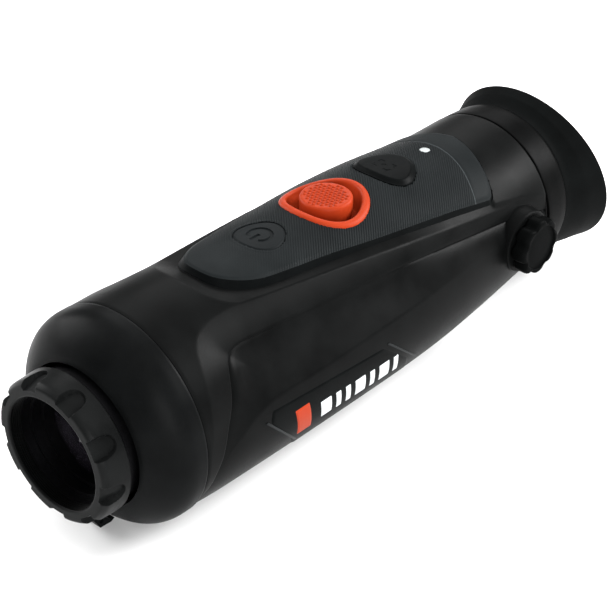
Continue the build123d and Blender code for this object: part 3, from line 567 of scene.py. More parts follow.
def snap(plan, outline, reach):
    """Moves the points that lie within reach of an outline onto it."""
    distance, toward = nearest_on(plan, outline)
    close = distance < reach
    plan[close] += toward[close]
    return plan, close


def upper_depth(angle, station):
    """Depth of the upper shell below the skin, outside the pad."""
    side = np.abs(angle)
    flat = np.stack([side * SPREAD, station], axis=-1).reshape(-1, 2)
    across_skin, along = flat.T
    to_band, _ = nearest(flat, band_line)
    in_band = inside(flat, band_region)
    # the band is a facet that sinks slowly away from its outer edge
    fade = 1 - 0.7 * ramp(across_skin, 33.0, 45.0)
    facet = band_depth(along) + 0.17 * fade * to_band
    # the trough sinks from its outer edge to the pad's foot
    plan = plan_of(side, station).reshape(-1, 2)
    to_foot, _ = nearest(plan, foot_half)
    to_trough, _ = nearest(flat, trough_line)
    to_edge = np.minimum(to_trough, to_band)
    share = to_edge / (to_edge + to_foot + 1e-6)
    edge_depth = band_depth(along)
    trough = edge_depth + (foot_depth(along) - edge_depth) * share
    past_pad = ramp(along, 129.2, 130.6)
    to_step, toward = nearest(flat, step_line)
    below_step = (toward[:, 0] < 0) | (along > 150.4)
    step = band_depth(along) * np.where(below_step, ramp(to_step, 0.0, 0.8), 0.0)
    in_upper = (along > 38.5) & ~in_band & inside(flat, upper_region)
    depth = np.where(in_band, facet, np.where(in_upper, trough * (1 - past_pad) + step * past_pad, 0.0))
    return depth.reshape(np.shape(angle))


CREASE_STATIONS = np.linspace(FRONT_SEAM, REAR_SEAM, 200)
JUST_ABOVE = 0.004                  # in radians
CREASE_DEPTHS = upper_depth(np.radians(smooth_curve(CREASE, CREASE_STATIONS)) - JUST_ABOVE, CREASE_STATIONS)
SHELL_STATIONS = np.linspace(FRONT_SEAM + SEAM_GAP, REAR_SEAM - SEAM_GAP, 257)
WALL = 1.9
UNDER_PAD = 0.45                    # the shell's surface below the pad's foot
EDGE_ROLL = 0.08                    # how far the shells' edges roll in at the crease
END_ROLL = 0.12                     # and at both ends
INNER_DROP = 1.0                    # the inner wall's centre below the optical axis
FLAP_SEAT = 22.7                    # floor of the flap's recess from the symmetry plane


def crease_depth(station):
    """Depth of the upper shell's edge at each station."""
    return np.interp(station, CREASE_STATIONS, CREASE_DEPTHS)


def rolled_ends(station):
    from_end = np.minimum(station - FRONT_SEAM, REAR_SEAM - station)
    return END_ROLL * (1 - ramp(from_end, 0.0, 0.5))


def shell_mesh(outer, inner):
    """A closed wall between two grids of the same size."""
    rows, columns = outer.shape[:2]
    points = np.vstack([outer.reshape(-1, 3), inner.reshape(-1, 3)])
    faces = quads(rows, columns)
    faces += quads(rows, columns, first=rows * columns)
    index = np.arange(rows * columns).reshape(rows, columns)
    rim = np.concatenate([index[0, :], index[1:, -1], index[-1, -2::-1], index[-2:0:-1, 0]])
    other = np.roll(rim, -1)
    second = rows * columns
    faces += np.stack([rim, other, other + second, rim + second], axis=1).tolist()
    return points, faces


def settle_order(elements, places):
    """Sorts vertices or faces by place, because a cut's own order changes from run to run."""
    elements.ensure_lookup_table()
    for rank, index in enumerate(np.lexsort(np.array(places).T)):
        elements[int(index)].index = rank
    elements.sort()


def cut_outline(piece, outline, wall, axis="z"):
    """Cuts an outline out of a piece: seen from above, or from the -X side; the new edge turns in by wall."""
    work = bmesh.new()
    work.from_mesh(piece.data)
    centres = np.array([f.calc_center_median() for f in work.faces])
    x = centres[:, 0] / MM
    station = (centres[:, 1] - FRONT_Y) / MM
    height = (centres[:, 2] - AXIS_Z) / MM
    if axis == "z":
        hit = inside(np.stack([x, station], axis=1), outline) & (height > 5.0)
        turn_in = Vector((0, 0, -wall * MM))
    else:
        hit = inside(np.stack([station, height], axis=1), outline) & (x < -5.0)
        turn_in = Vector((wall * MM, 0, 0))
    before = {e for e in work.edges if e.is_boundary}
    work.faces.ensure_lookup_table()
    bmesh.ops.delete(work, geom=[work.faces[i] for i in np.flatnonzero(hit)], context="FACES")
    fresh = [e for e in work.edges if e.is_boundary and e not in before]
    grown = bmesh.ops.extrude_edge_only(work, edges=fresh)["geom"]
    bmesh.ops.translate(work, verts=[g for g in grown if isinstance(g, bmesh.types.BMVert)], vec=turn_in)
    bmesh.ops.recalc_face_normals(work, faces=work.faces)
    settle_order(work.verts, [vert.co for vert in work.verts])
    settle_order(work.faces, [face.calc_center_median() for face in work.faces])
    work.to_mesh(piece.data)
    work.free()
    piece.data.shade_smooth()
    piece.data.set_sharp_from_angle(angle=radians(35))


def make_upper_shell():
    edge = np.radians(smooth_curve(CREASE, SHELL_STATIONS))
    share = np.linspace(-1, 1, 128)
    angle = edge[:, None] * share[None]
    station = np.repeat(SHELL_STATIONS[:, None], len(share), 1)
    # line the mesh up with the pad's foot
    plan = plan_of(angle, station)
    close_top = np.abs(angle) < radians(60)
    flat_plan = plan.reshape(-1, 2)
    moved, close = snap(flat_plan.copy(), foot_outline, 0.27)      # about half a cell of the mesh
    close &= close_top.reshape(-1)
    flat_plan[close] = moved[close]
    station = flat_plan[:, 1].reshape(station.shape)
    new_angle = np.arcsin(np.clip(flat_plan[:, 0].reshape(station.shape) / skin_radius(station), -1, 1))
    angle = np.where(close.reshape(angle.shape), new_angle, angle)
    depth = upper_depth(angle, station)
    to_foot, _ = nearest_on(flat_plan, foot_outline)
    within = inside(flat_plan, foot_outline) & (to_foot > 0.05) & close_top.reshape(-1)
    depth = np.where(within.reshape(angle.shape), foot_depth(station) + UNDER_PAD, depth)
    from_edge = (1 - np.abs(share))[None] * edge[:, None] * SPREAD
    depth = depth + EDGE_ROLL * (1 - ramp(from_edge, 0.0, 0.3))
    depth = depth + rolled_ends(station)
    outer = on_skin(angle, station, -depth)
    inner = on_skin(angle, station, -np.maximum(depth + 0.6, WALL + 0.5))
    points, faces = shell_mesh(outer, inner)
    shell = make_piece("upper_shell", points, faces, "housing", "housing_plastic", ["upper_housing"], 32)
    cut_outline(shell, STICK_OUTLINE * [1.01, 1.0], 0.2)
    # windows under the two keys, a little larger than the keys
    for outline in (POWER_OUTLINE, CAPTURE_OUTLINE):
        centre = outline.mean(axis=0)
        cut_outline(shell, centre + (outline - centre) * 1.08, 0.2)


def grip_depth(angle, station):
    """Depth of the lower shell below the skin: a cove under the crease, then a flat facet down to a ridge."""
    side = np.abs(angle)
    flat = np.stack([side * SPREAD, station], axis=-1).reshape(-1, 2)
    across_skin, along = flat.T
    to_crease, toward = nearest(flat, crease_line)
    at_crease = flat + toward
    ridge = np.radians(smooth_curve(RIDGE, along))
    strength = (1 - ramp(along, 84, 124)) * ramp(along, 26, 40)
    lean = ridge - np.radians(24.0) * strength

    def facet(position):
        within = np.minimum(position / SPREAD, ridge)
        return SPREAD * (np.log(np.cos(within - lean)) - np.log(np.cos(ridge - lean)))

    deep = facet(across_skin)
    edge = facet(at_crease[:, 0])
    start = crease_depth(at_crease[:, 1]) + 0.5
    # the cove is tighter where the facet lies deeper than its start
    reach = np.where(edge > start, 1.9, 3.6)
    return (deep + (start - edge) * np.exp(-to_crease / reach)).reshape(np.shape(angle))


def sink_flap_recess(outer):
    """Presses the recess for the connector flap into the -X side, and lines the mesh up with its walls."""
    flat = outer.reshape(-1, 3)
    front, rear, low, high = FLAP_BOX
    front, rear, low, high = front - 1.9, rear + 0.25, low - 0.25, high + 0.25
    side_on = flat[:, 0] < -15
    along, upright = (front, rear), (low, high)
    for column, other, lines, limits in ((1, 2, along, upright), (2, 1, upright, along)):
        for line in lines:
            near = side_on & (np.abs(flat[:, column] - line) < 0.27)
            near &= (flat[:, other] > limits[0] - 0.4) & (flat[:, other] < limits[1] + 0.4)
            flat[near, column] = line
    held = side_on & (flat[:, 1] > front + 0.05) & (flat[:, 1] < rear - 0.05)
    held &= (flat[:, 2] > low + 0.05) & (flat[:, 2] < high - 0.05)
    flat[held, 0] = -FLAP_SEAT
    return flat.reshape(outer.shape)


def make_lower_shell():
    fine = np.linspace(0, 1, 84)
    coarse = np.linspace(0, 1, 30)[1:-1]
    flank_end = 134.0               # where the coarser belly starts, in degrees from the crest
    lip = 1.2                       # how far the edge reaches under the upper shell, in degrees
    rows = []
    for limit in smooth_curve(CREASE, SHELL_STATIONS):
        flank = limit + fine * (flank_end - limit)
        belly = flank_end + coarse * (360 - 2 * flank_end)
        rows.append(np.concatenate([[limit - lip], flank, belly, 360 - flank[::-1], [360 + lip - limit]]))
    angle = np.radians(np.array(rows))
    angle = np.where(angle > pi, angle - 2 * pi, angle)
    station = np.repeat(SHELL_STATIONS[:, None], angle.shape[1], 1)
    depth = grip_depth(angle, station)
    depth[:, (1, -2)] += EDGE_ROLL
    depth[:, (0, -1)] = depth[:, (1, -2)] + 0.7
    outer = sink_flap_recess(on_skin(angle, station, -(depth + rolled_ends(station))))
    inner = outer.copy()
    reach = np.hypot(outer[..., 0], outer[..., 2] + INNER_DROP)
    # the wall is thin where the belly and the flap's recess come close to the works
    shrink = (reach - np.where(reach < 23.3, 0.8, WALL)) / reach
    inner[..., 0] *= shrink
    inner[..., 2] = -INNER_DROP + (outer[..., 2] + INNER_DROP) * shrink
    points, faces = shell_mesh(outer, inner)
    shell = make_piece("lower_shell", points, faces, "housing", "housing_plastic", ["lower_housing"], 32)
    port = [(USB_STATION + 4.6 * i, USB_HEIGHT + 1.7 * j) for i, j in ((-1, -1), (1, -1), (1, 1), (-1, 1))]
    cut_outline(shell, np.array(port), 0.1, axis="x")


make_upper_shell()
make_lower_shell()


# ================================================================ objective end
def make_bezel():
    dome = [(9.4, 17.55), (9.6, 18.5), (10.2, 19.8), (11.2, 21.3), (12.4, 22.75), (13.7, 24.0), (15.0, 24.95),
            (16.4, 25.6), (18.0, 26.0), (19.6, 26.1), (21.4, 26.1), (FRONT_SEAM - SEAM_GAP, 25.95)]
    inside_wall = [(FRONT_SEAM - SEAM_GAP, 23.3), (26.4, 23.3), (26.4, 21.8), (17.5, 21.8), (13.2, 20.4),
                   (12.4, 17.5)]
    points, faces = lathe(np.vstack([resampled(dome, 44), inside_wall]), 220)
    make_piece("bezel_ring", points, faces, "housing", "bezel_plastic", ["front_bezel"], 30)


def make_focus_ring():
    notches, half_notch = 9, 8.6    # half_notch and first_notch are in degrees
    first_notch = 60.0              # from the crest
    mouth, root, deepest, notch_length = 15.35, 16.6, 15.0, 5.4
    bore = 13.68
    period = 360 / notches
    local = np.concatenate([np.linspace(-period / 2, -half_notch - 0.9, 9),
                            np.linspace(-half_notch - 0.5, half_notch + 0.5, 61),
                            np.linspace(half_notch + 0.9, period / 2, 9)[:-1]])
    turn = np.concatenate([np.radians(first_notch + period * k + local) for k in range(notches)])
    thread = []
    for k in range(7):
        start = 0.75 + 0.5 * k
        thread += [(start, bore), (start + 0.14, 13.98), (start + 0.26, 13.98), (start + 0.40, bore)]
    # station and radius, from the rear over the rim and round the front face into the bore
    outer = [(7.1, 17.3), (6.9, 17.55), (6.2, 17.55), (5.6, 17.54), (5.4, 17.54), (5.3, 17.53), (5.15, 17.53),
             (5.0, 17.52), (4.8, 17.52), (4.6, 17.51), (4.3, 17.5), (4.0, 17.49), (3.4, 17.46), (2.4, 17.42),
             (1.6, 17.36), (1.15, 17.25), (0.75, 17.0), (0.45, 16.75), (0.2, 16.55), (0.05, 16.3),
             (0.0, 16.0), (0.0, 15.6), (0.0, 15.2), (0.0, 14.8), (0.0, 14.4), (0.0, 14.15), (0.12, 13.9),
             (0.4, bore)]
    back = [(4.4, bore), (4.4, 14.66), (7.4, 14.66), (7.4, 17.0)]
    section = np.array(outer + thread + back)
    station, radius = section.T
    floor = mouth + station * (root - mouth) / 5.0
    floor = np.minimum(radius, np.maximum(floor, deepest))
    cut = np.where((radius > deepest) & (station < 6.6), floor, radius)
    # each notch is widest at the front face and closes in a round end
    width = half_notch * np.sqrt(np.maximum(1 - (station / notch_length)**3.2, 0))
    reach = np.abs(np.tile(local, notches))[:, None]
    in_notch = np.where(width[None] > 0.5, 1 - ramp(reach, width[None] - 0.4, width[None] + 0.3), 0)
    around = turn[:, None]
    size = radius[None] + (cut - radius)[None] * in_notch
    depth = np.repeat(station[None], len(turn), 0)
    points = np.stack([size * np.sin(around), depth, size * np.cos(around)], axis=-1)
    faces = quads(len(turn), len(section), True, True)
    ring = make_piece("focus_wheel_ring", points, faces, "focus_wheel", "ring_plastic", ["focus_ring"], 28)
    # the bore and its thread are darker
    ring.data.materials.append(LOOKS["bore_plastic"])
    for face in ring.data.polygons:
        face.material_index = int(np.hypot(face.center.x, face.center.z - AXIS_Z) < 13.99 * MM)


make_bezel()
make_focus_ring()


# ================================================================ control pad and its controls
def pad_half_width(stations, half, rear):
    """Half width of the pad at each station, from a side outline and the rear outline."""
    front_part = np.interp(stations, half[:, 1], half[:, 0])
    rear_part = np.interp(stations, rear[:, 1], rear[:, 0])
    return np.where(stations <= rear[0, 1], front_part, rear_part)


def make_pad():
    front, rear = foot_half[0, 1], foot_rear[-1, 1]
    share = np.linspace(0, 1, 250)
    # more rows at both ends, where the outline is blunt
    stations = front + (rear - front) * (share - 0.36 / (2 * pi) * np.sin(2 * pi * share))
    stations[0] += 0.003
    stations[-1] -= 0.003
    wide = pad_half_width(stations, foot_half, foot_rear)
    widest = 0.94 * pi / 2
    across = np.sin(np.linspace(-widest, widest, 120)) / sin(widest)
    x = wide[:, None] * across[None]
    station = np.repeat(stations[:, None], len(across), 1)
    plan = np.stack([x, station], axis=-1).reshape(-1, 2)
    for outline in (POWER_OUTLINE, STICK_OUTLINE, CAPTURE_OUTLINE, LAMP_OUTLINE, top_outline):
        plan, _ = snap(plan, outline, 0.12)
    to_top, _ = nearest_on(plan, top_outline)
    to_foot, _ = nearest_on(plan, foot_outline)
    on_top = inside(plan, top_outline)
    down = np.where(on_top, 0.0, to_top / (to_top + to_foot + 1e-6))
    # the top's edge is rolled, and the skirt drops almost straight from it to the foot
    roll = 0.24
    drop_to = PAD_PROUD + foot_depth(plan[:, 1]) + 0.25
    skirt = roll + (drop_to - roll) * down**0.9
    lift = PAD_PROUD - np.where(on_top, roll * (1 - ramp(to_top, 0.0, 0.8)), skirt)
    # fine groove where the ribs end
    rib_end = np.vstack([np.array(RIB_END)[::-1] * [-1, 1], np.array(RIB_END)[1:]])
    to_line, _ = nearest(plan, rib_end)
    lift -= 0.12 * (1 - ramp(to_line, 0.05, 0.45)) * on_top
    # a fine lip round each key
    for outline in (POWER_OUTLINE, CAPTURE_OUTLINE):
        to_hole, _ = nearest_on(plan, outline)
        lift += 0.10 * (1 - ramp(to_hole, 0.3, 0.9)) - 0.15 * (1 - ramp(to_hole, 0.0, 0.3))
    grid = over_plan(plan[:, 0], plan[:, 1], lift).reshape(*x.shape, 3)
    under = grid.copy()
    under[..., 2] -= 0.55
    points, faces = shell_mesh(grid, under)
    pad = make_piece("keypad_skin", points, faces, "housing", "pad_rubber", ["control_pad"], 40)
    for outline in (POWER_OUTLINE, STICK_OUTLINE, CAPTURE_OUTLINE, LAMP_OUTLINE):
        cut_outline(pad, outline, 0.05)
    # the steep sides get a darker copy of the rubber: painted shade on the skirt
    pad.data.materials.append(LOOKS["pad_side_painted_shade"])
    centre = np.array([(face.center.x / MM, (face.center.y - FRONT_Y) / MM) for face in pad.data.polygons])
    for face, on_top in zip(pad.data.polygons, inside(centre, top_outline)):
        face.material_index = int(not on_top)


def button(name, outline, body, slot, node, height_at, depth, gap=0.16, look=None):
    """A keypad button: a top that follows the skin and height_at, rolled edges and straight sides."""
    centre = outline.mean(axis=0)
    edge = 1 - gap / np.abs(outline - centre).max()
    rings = np.concatenate([np.linspace(0.015, 0.9, 68), np.linspace(0.91, 1.0, 12)]) * edge
    plan = np.vstack([centre[None]] + [centre + (outline - centre) * share for share in rings])
    top = over_plan(plan[:, 0], plan[:, 1], height_at(plan[:, 0], plan[:, 1]))
    skirt = top[-len(outline):].copy()
    skirt[:, 2] -= depth
    faces = plate_faces(len(outline), len(rings))
    make_piece(name, np.vstack([top, skirt]), faces, body, slot, [node], 38, look)


def edge_fall(x, station, outline, width, fall):
    """How much a rolled edge has dropped near an outline."""
    to_edge, _ = nearest_on(np.stack([x, station], axis=1), outline)
    return fall * (1 - ramp(to_edge, 0.1, width))


def power_height(x, station):
    """Flush top with an engraved arc and bar."""
    half_line = 0.42
    forward = -(station - POWER_STATION)
    turn = np.degrees(np.arctan2(x, forward))
    arc = (np.abs(np.hypot(forward, x) - 2.75) < half_line) & (np.abs(turn) > 34)
    bar = (np.abs(x) < half_line) & (forward > 0.1) & (forward < 3.1)
    engraved = np.where(arc | bar, 0.30, 0.0)
    return PAD_PROUD + 0.05 - engraved - edge_fall(x, station, POWER_OUTLINE, 0.7, 0.25)


def capture_height(x, station):
    """Raised crown with a faint engraved viewfinder mark."""
    side, along = np.abs(x), np.abs(station - CAPTURE_STATION)
    frame_mark = (np.maximum(side / 2.6, along / 1.9) < 1) & (np.maximum(side / 2.2, along / 1.5) > 1)
    frame_mark &= (side > 1.1) & (along > 0.7)
    dot = np.hypot(x, station - CAPTURE_STATION) < 0.6
    engraved = np.where(frame_mark | dot, 0.10, 0.0)
    return PAD_PROUD + 0.95 - engraved - edge_fall(x, station, CAPTURE_OUTLINE, 1.6, 0.75)


def lamp_height(x, station):
    reach = np.hypot(x, station - LAMP_STATION)
    return PAD_PROUD + 0.12 - 0.08 * reach**2


def make_stick_bezel():
    turn = full_turn(144)
    middle_station = STICK_STATION - 0.2
    # share of the way from the well's wall to the outer edge, and lift over the skin
    rim = [(1.0, -1.6), (1.0, 0.15), (0.96, 0.42), (0.88, 0.62), (0.76, 0.78), (0.6, 0.88), (0.42, 0.9),
           (0.26, 0.84), (0.13, 0.68), (0.04, 0.42), (0.0, 0.05), (-0.02, -0.6)]
    # inset from the well's wall and height, then radius and height round the stick's opening
    wall = [(0.18, 22.5), (0.30, 21.0), (0.45, 19.7), (0.75, 19.1), (1.3, 18.9)]
    floor = [(5.0, 18.9), (3.8, 18.9), (3.6, 18.7), (3.6, 17.8), (6.0, 17.7), (9.0, 17.7)]
    outer = 10.9 - 0.35 * np.sin(3 * turn)
    well = 8.9 - 0.45 * np.sin(3 * turn)
    rows = []
    for share, lift in rim:
        size = well + (outer - well) * share
        rows.append(over_plan(size * np.cos(turn), size * np.sin(turn) + middle_station, lift))
    rows += [level_ring(turn, well - inset, middle_station, height) for inset, height in wall]
    rows += [level_ring(turn, radius, STICK_STATION, height) for radius, height in floor]
    faces = quads(len(rows), len(turn), True, True)
    make_piece("stick_bezel", rows, faces, "housing", "accent_orange", ["joystick_bezel"], 40)


def make_stick_cap():
    turn = full_turn(128)
    # radius and height
    section = [(2.0, STICK_FACE), (4.0, 26.02), (5.2, 26.06), (5.6, 26.08), (5.95, 26.0), (6.2, 25.85),
               (6.35, 25.6), (6.4, 25.2), (6.38, 23.5), (6.3, 21.8), (6.22, 20.9), (6.05, 20.5), (5.7, 20.4),
               (3.0, 20.4), (1.5, 20.4)]
    points = [np.array([[0.0, STICK_STATION, STICK_FACE]])]
    points += [level_ring(turn, radius, STICK_STATION, height) for radius, height in section]
    count, start = len(turn), 1 + len(section) * len(turn)
    faces = [[0, 1 + k, 1 + (k + 1) % count] for k in range(count)]
    faces += quads(len(section), count, False, True, 1)
    faces.append((start - count + np.arange(count)[::-1]).tolist())
    # small raised pips on the thumb face, in rows turned half way; each is four rings of points
    pitch, field, sides = 1.18, 5.35, 12
    pip = [(0.43, -0.1), (0.43, 0.12), (0.43 * 0.86, 0.24), (0.43 * 0.5, 0.36)]
    rim_turn = full_turn(sides)
    for row in range(-6, 7):
        for column in range(-6, 7):
            x, along = (column + 0.5 * (row % 2)) * pitch, row * pitch * 0.87
            if np.hypot(x, along) > field:
                continue
            points += [level_ring(rim_turn, radius, along + STICK_STATION, STICK_FACE + rise) + [x, 0, 0]
                       for radius, rise in pip]
            faces += quads(len(pip), sides, False, True, start)
            faces.append((start + (len(pip) - 1) * sides + np.arange(sides)).tolist())
            faces.append((start + np.arange(sides)[::-1]).tolist())
            start += len(pip) * sides
    make_piece("thumb_cap", np.vstack(points), faces, "stick", "accent_orange", ["joystick_cap"], 45)


make_pad()
button("power_key_top", POWER_OUTLINE, "power_key", "pad_rubber", "power_button", power_height, 0.7,
       look="key_rubber")
button("capture_key_top", CAPTURE_OUTLINE, "capture_key", "button_rubber", "capture_button",
       capture_height, 2.2)
button("lamp_window", LAMP_OUTLINE, "housing", "lamp_plastic", "led_lens", lamp_height, 1.6, gap=0.05)
make_stick_bezel()
make_stick_cap()


# ================================================================ eyepiece end
def make_eyepiece_barrel():
    groove_end = REAR_SEAM + 0.42
    section = soften([(145.6, 16.2), (145.6, 19.2), (REAR_SEAM + 0.9, 19.2), (REAR_SEAM + 0.9, 20.6),
                      (groove_end, 20.6), (groove_end, 22.25), (152.0, 22.2), (156.0, 22.0), (158.2, 21.8),
                      (159.0, 21.45), (159.4, 20.7), (159.4, 19.4), (162.6, 19.4), (162.6, 17.2),
                      (160.2, 17.2), (160.2, 16.2)], 0.3)
    points, faces = lathe(section, 180)
    make_piece("eyepiece_barrel", points, faces, "housing", "housing_plastic", ["eyepiece_tube"], 30,
               look="barrel_plastic")


def make_eyecup():
    # station of the section's centre, radius and forward lean of its top, in degrees: outside, rim, inside
    outside = [(159.65, 19.6, 0.0), (159.65, 20.4, 0.0), (159.75, 20.75, 0.0), (160.2, 20.9, 0.0),
               (161.6, 21.2, 1.2), (163.4, 21.75, 3.4), (165.2, 22.35, 6.0), (167.0, 22.98, 8.8),
               (168.8, 23.5, 11.2), (170.5, 24.02, 13.2), (171.8, 24.45, 14.4), (172.5, 24.68, 15.0)]
    rim = [(172.8, 24.78, 15.2), (173.0, 24.76, 15.2), (173.15, 24.6, 15.2), (173.2, 24.3, 15.2),
           (173.1, 24.0, 15.2), (172.85, 23.75, 15.1)]
    bowl = [(172.2, 23.45, 14.6), (170.8, 23.05, 13.2), (169.0, 22.55, 11.0), (167.0, 21.9, 8.2),
            (165.2, 21.2, 5.6), (163.9, 20.4, 3.6), (163.1, 19.7, 2.0), (162.7, 19.5, 0.6),
            (161.5, 19.5, 0.0)]
    sections = np.array(outside + rim + bowl)
    at = np.linspace(0, len(sections) - 1, 110)
    knots = np.column_stack([np.arange(len(sections)), sections])
    station, radius, lean = (smooth_curve(knots, at, k) for k in (1, 2, 3))
    turn = full_turn(200)[:, None]
    tilt = np.radians(lean)[None]
    size = radius[None]
    points = np.stack([size * np.sin(turn), station[None] - size * np.cos(turn) * np.sin(tilt),
                       size * np.cos(turn) * np.cos(tilt)], axis=-1)
    faces = quads(len(turn), len(at), True, True)
    make_piece("eye_rubber_cup", points, faces, "eye_rubber", "soft_rubber", ["eyecup"], 50)


def make_knob():
    """Lobed wheel on the +X side."""
    start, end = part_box("diopter_knob")[0].x / MM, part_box("diopter_knob")[1].x / MM
    turn = full_turn(256)
    lobes, outer, lobe_depth, round_size = 8, 7.66, 1.05, 7.3
    size = outer - lobe_depth * (0.5 - 0.5 * np.cos(lobes * turn))**2.2
    # distance from the symmetry plane, inset, and how far the row follows the lobes
    rim = [(start, 3.2, 0.4), (start, 0.9, 1.0), (start + 0.15, 0.35, 1.0), (start + 0.5, 0.05, 1.0),
           (start + 1.2, 0.0, 1.0), (end - 1.3, 0.0, 1.0), (end - 0.75, 0.08, 1.0), (end - 0.35, 0.3, 1.0),
           (end - 0.12, 0.62, 0.9), (end - 0.02, 0.95, 0.75), (end, 1.15, 0.5)]
    # dished face: inset from the end, and radius
    face = [(0.0, 6.05), (0.06, 5.92), (0.42, 5.78), (0.5, 5.6), (0.5, 4.4), (0.44, 3.9), (0.4, 2.0),
            (0.4, 0.6)]
    rows = [knob_ring(turn, x, (size - inset) * follow + (round_size - inset) * (1 - follow))
            for x, inset, follow in rim]
    rows += [knob_ring(turn, end - inset, radius) for inset, radius in face]
    faces = quads(len(rows), len(turn), False, True)
    faces.append(((len(rows) - 1) * len(turn) + np.arange(len(turn))).tolist())
    faces.append(np.arange(len(turn))[::-1].tolist())
    make_piece("diopter_wheel_knob", rows, faces, "diopter_wheel", "ring_plastic", ["diopter_knob"], 30,
               look="knob_plastic")


def make_collar():
    """Seat that the diopter knob turns on, blended into the flank."""
    turn = full_turn(144)
    section = [(16.5, 8.9), (20.4, 8.7), (21.8, 8.6), (22.6, 8.5), (23.3, 8.4), (23.75, 8.25), (24.0, 7.9),
               (24.0, 6.0), (24.0, 3.05), (19.5, 3.05)]
    rows = [knob_ring(turn, x, radius) for x, radius in section]
    faces = quads(len(rows), len(turn), True, True)
    make_piece("knob_collar", rows, faces, "housing", "housing_plastic", sharp=30)


make_eyepiece_barrel()
make_eyecup()
make_knob()
make_collar()


# ================================================================ badges and connector flap
def dense_outline(outline, step):
    """A closed outline with points at most one step apart."""
    out = []
    for start, end in zip(outline, np.roll(outline, -1, axis=0)):
        parts = max(1, int(np.ceil(np.linalg.norm(end - start) / step)))
        out.extend(start + (end - start) * k / parts for k in range(parts))
    return np.array(out)


def skin_patch(outline, side, lift, thickness, edge=0.25, corner=0.8):
    """A thin plate on the flank; its outline is given as stations and heights."""
    outline = dense_outline(soften(np.array(outline, float), corner), 0.5)
    count = len(outline)
    rings = np.concatenate([np.linspace(0.04, 0.94, 26), [0.965, 0.985, 1.0]])
    centre = outline.mean(axis=0)
    flat = np.vstack([centre[None]] + [centre + (outline - centre) * share for share in rings])
    station, height = flat.T
    to_edge, _ = nearest_on(flat, outline)
    rise = lift - edge * (1 - ramp(to_edge, 0.0, 0.5))
    over_centre = height + skin_drop(station)
    angle = np.arccos(np.clip(over_centre / skin_radius(station), -1, 1))
    radius = skin_radius(station) - grip_depth(angle, station)
    reach = np.sqrt(np.maximum((radius + rise)**2 - over_centre**2, 0))
    top = np.stack([side * reach, station, height], axis=1)
    under = np.stack([side * (reach[-count:] - thickness), station[-count:], height[-count:]], axis=1)
    return np.vstack([top, under]), plate_faces(count, len(rings))


def slanted(station, top, width, bottom, lean):
    """A bar between two heights that leans back by lean times its height."""
    shift = (top - bottom) * lean
    foot = station + shift
    return [(station, top), (station + width, top), (foot + width, bottom), (foot, bottom)]


BADGE = [(41.6, 1.6), (79.4, -1.2), (91.0, -10.8), (94.0, -16.4), (53.6, -17.4), (49.6, -11.5), (41.0, -1.4)]
# station and width of each light grey bar
MARKS = [(57.6, 3.6), (62.9, 1.7), (66.3, 1.7), (69.7, 3.6), (75.0, 1.7), (78.4, 3.6), (83.7, 1.7)]
MARK_LEAN = 0.32


def make_badge(side, name, node):
    """Side plate with plain slanted bars, and a bracket line with a painted highlight beyond each slanted
    end.
    """
    points, faces = skin_patch(BADGE, side, 0.22, 0.9)
    make_piece(name, points, faces, "housing", "badge_plastic", [node], 40)
    parts = [("accent", slanted(48.8, -2.4, 4.6, -11.8, MARK_LEAN), "accent_orange", "accent_orange")]
    for k, (station, width) in enumerate(MARKS):
        top = -4.9 - 0.05 * (station - MARKS[0][0])
        bar = slanted(station, top, width, top - 6.0, MARK_LEAN)
        parts.append((f"mark_{k}", bar, "badge_plastic", "badge_mark"))
    # the bracket lines carry a lighter look: a painted highlight on their bevels
    parts.append(("bracket_front", slanted(39.3, -0.6, 0.8, -14.5, 0.95), "badge_plastic", "bracket_painted_highlight"))
    parts.append(("bracket_rear", slanted(80.7, -0.7, 0.8, -12.5, 1.15), "badge_plastic", "bracket_painted_highlight"))
    for label, outline, slot, look in parts:
        points, faces = skin_patch(outline, side, 0.34, 0.5, 0.12, 0.3)
        make_piece(f"{name}_{label}", points, faces, "housing", slot, (), 40, look)


make_badge(1, "flank_badge_left", "badge_left")
make_badge(-1, "flank_badge_right", "badge_right")


def make_flap():
    """Cover of the connector on the -X side, with a lip to lift it by."""
    front, rear, low, high = FLAP_BOX
    front += 1.0
    outline = [(front, low), (rear, low), (rear, high), (front, high)]
    points, faces = skin_patch(outline, -1, -0.02, 1.7, 0.3)
    make_piece("connector_flap_cover", points, faces, "connector_flap", "soft_rubber", ["usb_cover"], 40)
    lip_start, lip_end, low, high = rear - 3.4, rear - 2.2, low + 1.6, high - 1.6
    outline = [(lip_start, low), (lip_end, low), (lip_end, high), (lip_start, high)]
    points, faces = skin_patch(outline, -1, 0.35, 0.9, 0.3)
    make_piece("connector_flap_lip", points, faces, "connector_flap", "soft_rubber", sharp=40)


make_flap()


# ================================================================ looks of the frame's own nodes
for part in frame["record"]["subparts"]:
    mesh = frame["nodes"][part["node"]].data
    mesh.materials.clear()
    mesh.materials.append(LOOKS[part["material_slot"]])


# ================================================================ floor, light and camera
def make_floor():
    half = 1.6                      # metres
    mesh = bpy.data.meshes.new("floor")
    corners = [(-half, -half, 0), (half, -half, 0), (half, half, 0), (-half, half, 0)]
    mesh.from_pydata(corners, [], [(0, 1, 2, 3)])
    floor = bpy.data.objects.new("floor", mesh)
    floor.location.z = cad_box[0].z
    bpy.context.scene.collection.objects.link(floor)
    look, tree, shader, place = new_look("pale_floor")
    tone = spread(tree, noise(tree, place, 60.0), 0.0, 1.0)
    tint(tree, shader, tone, (0.84, 0.84, 0.84), (0.87, 0.87, 0.87))
    shader.inputs["Roughness"].default_value = 0.9
    mesh.materials.append(look)


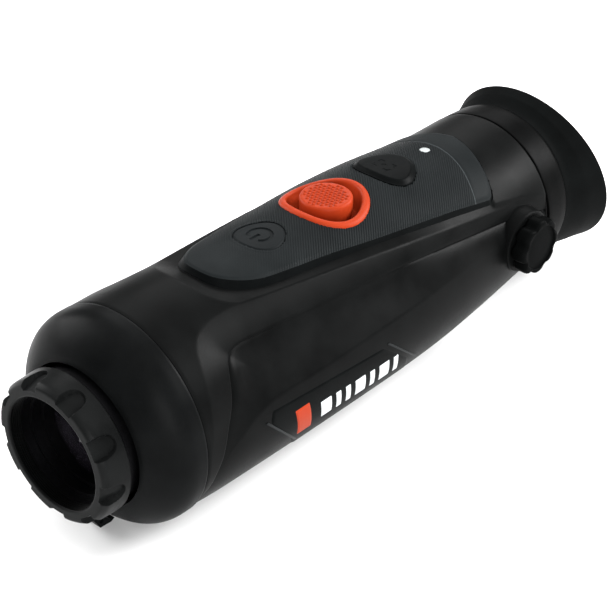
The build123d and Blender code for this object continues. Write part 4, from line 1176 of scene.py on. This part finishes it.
def area_light(name, place, target, size, power):
    data = bpy.data.lights.new(name, "AREA")
    data.shape = "RECTANGLE"
    data.size, data.size_y = size
    data.energy = power
    light = bpy.data.objects.new(name, data)
    light.location = place
    light.rotation_mode = "QUATERNION"
    light.rotation_quaternion = (Vector(target) - Vector(place)).to_track_quat("-Z", "Y")
    bpy.context.scene.collection.objects.link(light)


VIEW_AZIMUTH, VIEW_ELEVATION = 42.18, 33.80
VIEW_DISTANCE = 0.4327              # metres, like the lights' places and sizes
azimuth, elevation = radians(VIEW_AZIMUTH), radians(VIEW_ELEVATION)
right = Vector((cos(azimuth), sin(azimuth), 0))
up = Vector((-sin(azimuth) * sin(elevation), cos(azimuth) * sin(elevation), cos(elevation)))
back = Vector((sin(azimuth) * cos(elevation), -cos(azimuth) * cos(elevation), sin(elevation)))
middle = Vector((0, FRONT_Y + 85 * MM, AXIS_Z))


def make_camera():
    data = bpy.data.cameras.new("camera")
    data.sensor_width = 36.0
    data.lens = 105.03
    camera = bpy.data.objects.new("camera", data)
    target = middle - right * 2.75 * MM - up * 2.94 * MM
    camera.location = target + back * VIEW_DISTANCE
    camera.rotation_mode = "QUATERNION"
    camera.rotation_quaternion = (-back).to_track_quat("-Z", "Y")
    bpy.context.scene.collection.objects.link(camera)
    bpy.context.scene.camera = camera


make_floor()
make_camera()
# place from the object's middle, width and height, and watts
for light_name, offset, light_size, watts in (
    ("top_soft_box", (0.0, 0.0, 1.2), (2.4, 2.4), 28.0),
    ("side_soft_box", (0.42, 0.74, 0.42), (0.34, 0.34), 16.0),
    ("front_soft_box", (0.72, -0.50, 0.26), (0.5, 0.5), 8.0),
    ("back_soft_box", (-0.45, 0.62, 0.50), (0.6, 0.4), 3.0),
    ("left_soft_box", (-0.72, -0.20, 0.34), (0.5, 0.5), 7.0),
):
    area_light(light_name, middle + Vector(offset), middle, light_size, watts)
world = bpy.data.worlds.new("studio")
world.use_nodes = True
backdrop = world.node_tree.nodes["Background"]
backdrop.inputs["Color"].default_value = (1.0, 1.0, 1.0, 1.0)
backdrop.inputs["Strength"].default_value = 0.3
bpy.context.scene.world = world
bpy.context.scene.view_settings.view_transform = "Standard"
